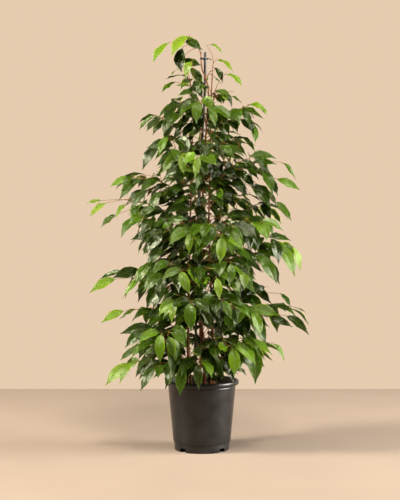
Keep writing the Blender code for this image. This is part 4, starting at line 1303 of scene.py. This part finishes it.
def plastic_finish(name, colour, roughness, grain):
    """Smooth plastic with a faint grain and scuffs."""
    nodes = Finish(name)
    around = nodes.place()
    scuffs = nodes.noise(around, 260, 4, 0.65)
    nodes.colour(nodes.mix(nodes.ranged(scuffs, 0.52, 0.75), colour, shade(colour, 2.2, 0.01)))
    nodes.roughness(nodes.ranged(scuffs, 0.3, 0.7, roughness - 0.07, roughness + 0.12))
    nodes.bump(nodes.noise(around, grain, 2), 0.12 * MM, 0.6)
    return nodes.material


# Pieces


def pot_profile(pot, arc_steps=18, wall_steps=8):
    """The pot's section as (radius, height) pairs: over the floor, up to the rim and down outside."""
    foot, inner_foot = pot.foot_height, pot.foot_radius - pot.wall
    under_rim, half_depth = pot.height - pot.rim_depth, pot.rim_depth / 2
    profile = [
        (0, FLOOR_TOP * MM),
        (inner_foot - 2 * MM, FLOOR_TOP * MM),
        (inner_foot, (FLOOR_TOP + 1.5) * MM),
        (inner_foot, foot + 1 * MM),
        (pot.wall_foot_radius - pot.wall, foot + 3.5 * MM),
        (pot.wall_top_radius - pot.wall, under_rim),
    ]
    for step in range(arc_steps + 1):
        turn = math.radians(118 - 205 * step / arc_steps)
        bulge = 1 + 0.10 * math.sin(2 * turn) ** 2
        radius = pot.rim_radius - RIM_ROUND * MM + RIM_ROUND * MM * min(1, bulge * math.cos(turn))
        profile.append((radius, pot.height - half_depth + half_depth * math.sin(turn)))
    profile += [(pot.wall_top_radius + out * MM, under_rim + up * MM) for out, up in BEAD_UNDER_RIM]
    top_radius, top = pot.wall_top_radius - 0.4 * MM, under_rim - 7 * MM
    for step in range(wall_steps + 1):
        share = step / wall_steps
        radius = top_radius + (pot.wall_foot_radius - top_radius) * share
        profile.append((radius, top + (foot + 2.4 * MM - top) * share))
    profile += [
        (pot.wall_foot_radius - 0.5 * MM, foot + 1.2 * MM),
        (pot.foot_radius + 1.2 * MM, foot + 0.3 * MM),
        (pot.foot_radius + 0.5 * MM, foot - 0.6 * MM),
        *((pot.foot_radius + out * MM, up * MM) for out, up in FOOT_EDGE),
        (0, FLOOR_UNDERSIDE * MM),
    ]
    return profile


def cut_away(obj, cutters):
    """Cuts bmesh solids from a piece, and applies the cut at once."""
    tools = bpy.data.collections.new("cutters")
    bpy.context.scene.collection.children.link(tools)
    for made in cutters:
        mesh = bpy.data.meshes.new("cutter")
        made.to_mesh(mesh)
        made.free()
        tools.objects.link(bpy.data.objects.new("cutter", mesh))
    cut = obj.modifiers.new("cut", "BOOLEAN")
    cut.operation = "DIFFERENCE"
    cut.operand_type = "COLLECTION"
    cut.collection = tools
    cut.solver = "EXACT"
    graph = bpy.context.evaluated_depsgraph_get()
    result = bpy.data.meshes.new_from_object(obj.evaluated_get(graph))
    obj.modifiers.clear()
    obj.data = result
    for tool in list(tools.objects):
        bpy.data.objects.remove(tool)
    bpy.data.collections.remove(tools)
    result.shade_smooth()
    result.set_sharp_from_angle(angle=math.radians(35))


def build_pot(pot):
    solid = spin_profile(pot_profile(pot), pot.steps)
    obj = piece("nursery_pot", solid, "pot", pot_finish(pot.colour), "pot")
    cutters = []
    for quarter in range(4):
        azimuth = math.radians(FIRST_NOTCH + 90 * quarter)
        outward = Vector((math.sin(azimuth), -math.cos(azimuth), 0))
        notch = bmesh.new()
        sides = bmesh.ops.create_cube(notch, size=1)["verts"]
        bmesh.ops.scale(notch, vec=[side * MM for side in NOTCH_SIZE], verts=sides)
        upper = [edge for edge in notch.edges if all(v.co.z > 0 for v in edge.verts) and
                 abs(edge.verts[0].co.x - edge.verts[1].co.x) < 1e-6]
        round_edges(notch, upper, 2 * MM, 3)
        where = outward * pot.foot_radius + UP * NOTCH_MIDDLE * MM
        placed = Matrix.LocRotScale(where, Quaternion(UP, azimuth), None)
        bmesh.ops.transform(notch, matrix=placed, verts=notch.verts)
        drain, radius = bmesh.new(), DRAIN_RADIUS * MM
        bmesh.ops.create_cone(
            drain, cap_ends=True, segments=24, radius1=radius, radius2=radius, depth=6 * MM
        )
        bmesh.ops.translate(drain, vec=outward * DRAIN_DISTANCE * MM + UP * 11 * MM, verts=drain.verts)
        cutters += [notch, drain]
    cut_away(obj, cutters)


def soil_height(soil, radius, edge, x, y):
    """The soil's surface: a low dome with lumps and grains."""
    lumps = noise.noise(Vector((x, y, 0)) * 55) * 2.2 * MM + noise.noise(Vector((x, y, 3)) * 210) * 1.5 * MM
    dome = soil.dome * (1 - (radius / edge) ** 2)
    return soil.top + dome + lumps * min(1, (edge - radius) / (8 * MM) + 0.2)


def build_soil(soil, pot):
    rng = random.Random(SEED)
    low, high = pot.foot_height + 3.5 * MM, pot.height - pot.rim_depth
    slope = (pot.wall_top_radius - pot.wall_foot_radius) / (high - low)
    inner_foot = pot.wall_foot_radius - pot.wall
    edge = inner_foot + slope * (soil.top - low) - SEAT_GAP
    bottom_edge, bottom = pot.foot_radius - pot.wall - SEAT_GAP, FLOOR_TOP * MM + SEAT_GAP
    profile = [
        *((edge * ring / SOIL_RINGS, soil.top) for ring in range(SOIL_RINGS)),
        (edge, soil.top),
        (inner_foot - SEAT_GAP, low + 2 * SEAT_GAP),
        (bottom_edge, low - 2.5 * MM + 2 * SEAT_GAP),
        (bottom_edge, bottom),
        (0, bottom),
    ]
    made = spin_profile(profile, 120)
    for vertex in made.verts:
        if vertex.co.z > soil.top - 1 * MM:
            radius = vertex.co.xy.length
            vertex.co.z = soil_height(soil, radius, edge, vertex.co.x, vertex.co.y)
    warmth = made.verts.layers.float.new("warmth")
    sizes = [
        (*(rng.uniform(*span) for span in spans), spans is CHIP_SIZES)
        for spans, count in ((CHIP_SIZES, soil.chips), (CRUMB_SIZES, soil.crumbs)) for _ in range(count)
    ]
    for length, width, height, is_chip in sizes:
        radius = (edge - length * MM - 0.5 * MM) * math.sqrt(rng.random())
        turn = rng.uniform(0, 2 * math.pi)
        x, y = radius * math.cos(turn), radius * math.sin(turn)
        lift = soil_height(soil, radius, edge, x, y) + height * MM * rng.uniform(0.1, 0.7)
        lump = bmesh.ops.create_icosphere(made, subdivisions=1, radius=MM)["verts"]
        for vertex in lump:
            vertex.co *= rng.uniform(0.75, 1.2)
        tilt = Quaternion(jitter(rng, 1).normalized(), rng.uniform(0, 0.5))
        tilt = tilt @ Quaternion(UP, rng.uniform(*ANY_TURN))
        size = Vector((length, width, height))
        bmesh.ops.transform(made, matrix=Matrix.LocRotScale(Vector((x, y, lift)), tilt, size), verts=lump)
        warm = rng.uniform(0.15, 1.0) if is_chip else rng.uniform(0.0, 0.45)
        for vertex in lump:
            vertex[warmth] = warm
    piece("soil_surface", made, "soil", soil_finish(soil.dark, soil.warm), "soil", crease=math.radians(50))


def build_cane(support):
    _, cane = stems_and_cane()
    line = [point for _, point in cane.points(12 * MM)]
    radius = support.cane_radius
    top = line.pop()
    line.append(top - UP * 2.2 * MM)
    radii = [radius] * len(line)
    for rise, share in ((-1.2, 0.95), (-0.5, 0.78), (-0.1, 0.5), (0, 0.12)):
        line.append(top + UP * rise * MM)
        radii.append(radius * share)
    made = bmesh.new()
    sweep(made, line, radii, 20)
    for height in (5, 9):
        collar = top - UP * height * MM
        ring = [collar + UP * rise * MM for rise in (-1.1, -0.7, 0.7, 1.1)]
        sweep(made, ring, [radius * share for share in (0.99, 1.10, 1.10, 0.99)], 20)
    bmesh.ops.recalc_face_normals(made, faces=made.faces)
    piece("coated_cane", made, "cane", plastic_finish("cane_coating", support.cane, 0.34, 900), "cane")


def build_tie(number, height, leader, cane, finish):
    """A strap round the cane and the leader, with its clasp and a tail."""
    post, shoot = cane.at_z(height), leader.at_z(height)
    forward = flat(shoot - post).normalized()
    near = CANE_RADIUS + SEAT_GAP
    far = leader.radius_at(height) + SEAT_GAP
    loop = []
    for centre, radius, first in ((shoot, far, -90), (post, near, 90)):
        for step in range(13):
            outward = Quaternion(UP, math.radians(first + 180 * step / 12)) @ forward
            loop.append(flat(centre) + outward * radius)
    made = bmesh.new()
    strap = bmesh.ops.create_circle(made, cap_ends=False, segments=len(loop), radius=1)["verts"]
    for vertex, place in zip(strap, loop):
        vertex.co = place + UP * (height - TIE_DEPTH / 2)
    wall = bmesh.ops.extrude_edge_only(made, edges=made.edges[:])["geom"]
    bmesh.ops.translate(made, vec=UP * TIE_DEPTH, verts=only(bmesh.types.BMVert, wall))
    bmesh.ops.recalc_face_normals(made, faces=made.faces)
    bmesh.ops.solidify(made, geom=made.faces[:], thickness=-TIE_BAND)
    sharp = [edge for edge in made.edges if len(edge.link_faces) == 2 and edge.calc_face_angle(0) > 1.2]
    round_edges(made, sharp, 0.45 * MM, 2)
    turn = Quaternion(UP, math.atan2(forward.y, forward.x))
    clasp = flat(post) - forward * (near + 2.2 * MM) + UP * height
    rounded_block(made, [side * MM for side in CLASP_SIZE], clasp, turn, 0.7 * MM)
    tail_start = clasp - forward * 1.5 * MM
    tail_end = clasp - forward * (TIE_TAIL - 3.5 * MM) - UP * 2.5 * MM
    line = []
    for step in range(8):
        share = step / 7
        line.append(tail_start.lerp(tail_end, share) + UP * 1.6 * MM * math.sin(math.pi * share))
    sweep(made, line, [(1.5 - 0.6 * step / 7) * MM for step in range(8)], 8)
    bmesh.ops.recalc_face_normals(made, faces=made.faces)
    piece(f"plant_tie_{number}", made, "tie", finish, f"tie_{number}")


def build_stem(name, stem, finish):
    """A stem with smooth bark and a low ring wherever it once bore a leaf."""
    rng = random.Random(f"{SEED} {name}")
    spots = stem.points(5 * MM)
    radii, ages = [], []
    ring_every = rng.randint(4, 6)
    for index, (share, point) in enumerate(spots):
        swell = 0.10 if index % ring_every == 0 else rng.uniform(-0.02, 0.02)
        radii.append(stem.radius_at(point.z) * (1 + swell))
        ages.append(1.0 - 0.55 * share**3)
    made = bmesh.new()
    sweep(made, [point for _, point in spots], radii, 14, ages)
    bmesh.ops.recalc_face_normals(made, faces=made.faces)
    piece(f"stem_{name}_bark", made, "bark", finish, f"stem_{name}")


def build_wood(name, twigs, finish, *nodes):
    """The shoots of one branch: thin at their tips, swollen where they spring and at each leaf."""
    made = bmesh.new()
    for twig in twigs:
        length = length_of(twig.path)
        foot, top = (radius * part for radius, part in zip(twig.radii, WOOD_SHARES))
        count = max(6, round(length / (6 * MM)))
        path, radii, ages = [], [], []
        if twig.grip:
            path.append(twig.grip.copy())
            radii.append(twig.radii[0] * 0.7)
            ages.append(1.0)
        for step in range(count + 1):
            share = step / count
            path.append(twig.smooth_at(share))
            thick = foot + (top - foot) * share
            collar = 0.35 * max(0, 1 - share * length / (9 * MM))
            radii.append(thick * (1 + collar + 0.09 * (step % 3 == 0)))
            ages.append((MAIN_AGE if twig.radii is TWIG_RADII else SIDE_AGE) * (1 - share))
        bud = (path[-1] - path[-2]).normalized()
        path += [path[-1] + bud * 3.5 * MM, path[-1] + bud * 8 * MM]
        radii += [radii[-1] * 1.05, 0.15 * MM]
        ages += [0, 0]
        sweep(made, path, radii, 7, ages)
    bmesh.ops.recalc_face_normals(made, faces=made.faces)
    piece(f"{name}_wood", made, "bark", finish, *nodes)


def leaf_template():
    """A flat closed leaf: x across from -1 to 1, y from the twig to the tip, z 1 above and -1 below."""
    rows = len(PETIOLE_SHARES) + len(BLADE_ROWS)
    made = bmesh.new()
    bmesh.ops.create_grid(made, x_segments=BLADE_COLUMNS, y_segments=rows - 1, size=1)
    lower = bmesh.ops.duplicate(made, geom=made.verts[:] + made.edges[:] + made.faces[:])["geom"]
    under, flipped = only(bmesh.types.BMVert, lower), only(bmesh.types.BMFace, lower)
    bmesh.ops.reverse_faces(made, faces=flipped)
    for vertex in made.verts:
        at_edge = abs(vertex.co.x) > 0.99 or abs(vertex.co.y) > 0.99
        vertex.co.z = 0 if at_edge else (-1 if vertex in under else 1)
    marks = made.loops.layers.float.new("underside")
    spots = made.loops.layers.uv.new("leaf")
    for face in made.faces:
        for loop in face.loops:
            loop[marks] = float(face in flipped)
            loop[spots].uv = ((loop.vert.co.x + 1) / 2, (loop.vert.co.y + 1) / 2)
    bmesh.ops.remove_doubles(made, verts=made.verts, dist=0.001)
    mesh = bpy.data.meshes.new("leaf_template")
    made.to_mesh(mesh)
    made.free()
    return mesh


def shape_leaf(verts, leaf, look, rng):
    """Moves the vertices of a new template copy to their places on a leaf."""
    shares = [*PETIOLE_SHARES, *(share for share, _ in BLADE_ROWS)]
    widths = [look.petiole_width / leaf.width] * 2 + [width for _, width in BLADE_ROWS]
    stations = [leaf.station(share) for share in shares]
    phase, beat = rng.uniform(*ANY_TURN), rng.uniform(1.6, 2.7)
    fold = look.fold * rng.uniform(0.5, 1.25)
    cup = rng.uniform(-0.05, 0.16)
    twist = rng.uniform(-0.12, 0.12)
    slim = SLIMNESS[0] + (SLIMNESS[1] - SLIMNESS[0]) * crown_share(stations[0][0])
    for vertex in verts:
        u, layer = vertex.co.x, vertex.co.z
        row = round((vertex.co.y + 1) / 2 * (len(shares) - 1))
        share, (centre, across, normal) = shares[row], stations[row]
        half = leaf.width / 2 * widths[row] * slim
        turn = twist * share * share
        side = across * math.cos(turn) + normal * math.sin(turn)
        over = normal * math.cos(turn) - across * math.sin(turn)
        bowl = cup * (u * u - 0.33)
        lift = half * (math.sin(PACKED_FOLD) / 2 + math.sin(fold) * (abs(u) - 0.5) - bowl)
        wave = look.wave * math.sin(2 * math.pi * beat * share + phase + u) * abs(u) ** 1.5 * widths[row]
        thick = (look.petiole_width if row < 2 else look.blade_thickness) / 2
        lift += wave + layer * thick * math.sqrt(max(0.1, 1 - u * u))
        vertex.co = centre + side * (half * u * math.cos(fold)) + over * lift
        if share < FOLLOWING_SHARE:
            vertex.co += leaf.shift * (1 - share / FOLLOWING_SHARE) ** 2


def build_leaves(name, leaves, template, look, finish, node):
    """The leaves of one branch as one piece."""
    made = bmesh.new()
    fresh, tone = made.verts.layers.float.new("freshness"), made.verts.layers.float.new("tone")
    for order, leaf in enumerate(leaves):
        rng = random.Random(f"{SEED} {name} shape {order}")
        before = len(made.verts)
        made.from_mesh(template)
        made.verts.ensure_lookup_table()
        new = made.verts[before:]
        shape_leaf(new, leaf, look, rng)
        freshness = min(1, max(0, leaf.freshness + rng.uniform(-0.08, 0.10)))
        # its tone: a random darker tone, plus painted shade the nearer the leaf ends to the axis
        darkening_with_inner_shade = min(1, rng.random() + max(0, 1 - flat(leaf.line[-1]).length / INNER_SHADE_REACH))
        for vertex in new:
            vertex[fresh] = freshness
            vertex[tone] = darkening_with_inner_shade
    piece(f"{name}_leaves", made, "leaf", finish, node, crease=math.radians(60))


class FIG_OT_pot(bpy.types.Operator):
    """Build the nursery pot"""

    bl_idname = "fig.pot"
    bl_label = "Pot"

    def execute(self, context):
        build_pot(context.scene.fig_pot)
        return {"FINISHED"}


class FIG_OT_soil(bpy.types.Operator):
    """Build the potting soil with its bark and crumbs"""

    bl_idname = "fig.soil"
    bl_label = "Soil"

    def execute(self, context):
        build_soil(context.scene.fig_soil, context.scene.fig_pot)
        return {"FINISHED"}


class FIG_OT_support(bpy.types.Operator):
    """Build the cane and the ties that hold the leader to it"""

    bl_idname = "fig.support"
    bl_label = "Cane and ties"

    def execute(self, context):
        support = context.scene.fig_support
        build_cane(support)
        stems, cane = stems_and_cane()
        finish = plastic_finish("tie_plastic", support.tie, 0.45, 1400)
        for number, height in enumerate(TIE_HEIGHTS, 1):
            build_tie(number, height, stems["leader"], cane, finish)
        return {"FINISHED"}


class FIG_OT_stems(bpy.types.Operator):
    """Build the four stems"""

    bl_idname = "fig.stems"
    bl_label = "Stems"

    def execute(self, context):
        look = context.scene.fig_foliage
        finish = bark_finish("stem_bark", look.bark, look.shoot)
        for name, stem in stems_and_cane()[0].items():
            build_stem(name, stem, finish)
        return {"FINISHED"}


class FIG_OT_branches(bpy.types.Operator):
    """Grow the leafy branches, and build their shoots and leaves"""

    bl_idname = "fig.branches"
    bl_label = "Leafy branches"

    def execute(self, context):
        look = context.scene.fig_foliage
        stems, cane = stems_and_cane()
        thicket = obstacles(stems, cane)
        grown = grow_twigs(stems, thicket)
        leaves = end_leaves(grown, thicket)
        more_side_shoots(grown, thicket)
        side_leaves(grown, leaves, thicket, lambda count: range(0, count, 3))
        side_leaves(grown, leaves, thicket, lambda count: [place for place in range(count) if place % 3])
        young = base_shoots(thicket)
        inner = stem_shoots(stems, thicket)
        filled = fill_shoots(grown, thicket)
        fill_leaves(filled + inner, leaves, thicket)
        wood, green = bark_finish("shoot_bark", look.bark, look.shoot), leaf_finish(look)
        template = leaf_template()
        for (name, twigs), (_, more) in zip(grown, filled):
            build_wood(name, twigs + more, wood, name)
            build_leaves(name, leaves[name], template, look, green, name)
        for name, twigs in inner:
            build_wood(f"{name}_shoots", twigs, wood, f"stem_{name}")
            build_leaves(f"{name}_shoots", leaves[name], template, look, green, f"stem_{name}")
        build_wood("base", young, wood)
        bpy.data.meshes.remove(template)
        return {"FINISHED"}


def lay_floor(look):
    made = bmesh.new()
    bmesh.ops.create_grid(made, x_segments=8, y_segments=8, size=look.floor_depth)
    mesh = bpy.data.meshes.new("floor")
    made.to_mesh(mesh)
    made.free()
    nodes = Finish("floor_finish", Roughness=0.9, Specular_IOR_Level=0.1)
    cloud = nodes.noise(nodes.place(), 3.0, 3)
    nodes.colour(nodes.mix(nodes.ranged(cloud, 0.35, 0.65), look.floor, shade(look.floor, 1.06)))
    mesh.materials.append(nodes.material)
    floor = bpy.data.objects.new("floor", mesh)
    bpy.context.scene.collection.objects.link(floor)


def light_surround(look):
    """Light from all sides, of which little comes from above and from the front."""
    world = bpy.data.worlds.new("soft_surround")
    world.use_nodes = True
    sky = world.node_tree.nodes["Background"].inputs
    sky["Color"].default_value = (*look.surround, 1)
    nodes = Nodes(world.node_tree)
    way = nodes.add("SeparateXYZ", {"Vector": nodes.add("TexCoord").outputs["Generated"]}).outputs
    from_sides = nodes.ranged(way["Z"], 0.28, 0.42, 1.0, look.ceiling_share)
    from_back = nodes.ranged(way["Y"], -0.8, -0.1, look.front_share, 1.0)
    # behind the plant it stays pale from every side
    seen = nodes.add("LightPath").outputs["Is Camera Ray"]
    nodes.feed(sky["Strength"], nodes.maths("MAXIMUM", nodes.times(from_sides, from_back), seen))
    bpy.context.scene.world = world


def set_lamps(look):
    for name, (size, place, colour) in LAMPS.items():
        lamp = bpy.data.lights.new(name, "AREA")
        lamp.energy, lamp.size, lamp.color = getattr(look, name), size, colour
        holder = bpy.data.objects.new(name, lamp)
        holder.location = place
        holder.rotation_euler = (LAMPS_AIM - Vector(place)).to_track_quat("-Z", "Y").to_euler()
        bpy.context.scene.collection.objects.link(holder)


def set_camera(look):
    view = bpy.data.cameras.new("camera")
    view.lens, view.sensor_width = look.lens, CAMERA_SENSOR
    camera = bpy.data.objects.new("camera", view)
    camera.location = CAMERA_PLACE
    camera.rotation_euler = (math.radians(90), 0, 0)
    scene = bpy.context.scene
    scene.collection.objects.link(camera)
    scene.camera = camera
    scene.view_settings.view_transform = "Standard"


class FIG_OT_stage(bpy.types.Operator):
    """Lay the floor, and set the lights and the camera"""

    bl_idname = "fig.stage"
    bl_label = "Stage"

    def execute(self, context):
        for step in (lay_floor, light_surround, set_lamps, set_camera):
            step(context.scene.fig_stage)
        return {"FINISHED"}


STEPS = (FIG_OT_stage, FIG_OT_pot, FIG_OT_soil, FIG_OT_support, FIG_OT_stems, FIG_OT_branches)


class FIG_PT_panel(bpy.types.Panel):
    """Everything that builds the fig, in order"""

    bl_idname = "FIG_PT_panel"
    bl_label = "Potted weeping fig"
    bl_space_type = "VIEW_3D"
    bl_region_type = "UI"
    bl_category = "Fig"

    def draw(self, context):
        for step in STEPS:
            self.layout.operator(step.bl_idname)
        for name in SETTINGS:
            group = getattr(context.scene, name)
            box = self.layout.box()
            for key in group.__annotations__:
                box.prop(group, key)


CLASSES = (*SETTINGS.values(), *STEPS, FIG_PT_panel)


def register():
    for cls in CLASSES:
        bpy.utils.register_class(cls)
    for name, group in SETTINGS.items():
        setattr(bpy.types.Scene, name, PointerProperty(type=group))


def unregister():
    for name in SETTINGS:
        delattr(bpy.types.Scene, name)
    for cls in reversed(CLASSES):
        bpy.utils.unregister_class(cls)


def main():
    for obj in list(bpy.data.objects):
        if obj.type in {"CAMERA", "LIGHT"} or obj.name == "Cube":
            bpy.data.objects.remove(obj)
    register()
    for step in STEPS:
        group, name = step.bl_idname.split(".")
        getattr(getattr(bpy.ops, group), name)()
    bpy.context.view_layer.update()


if __name__ == "__main__":
    main()
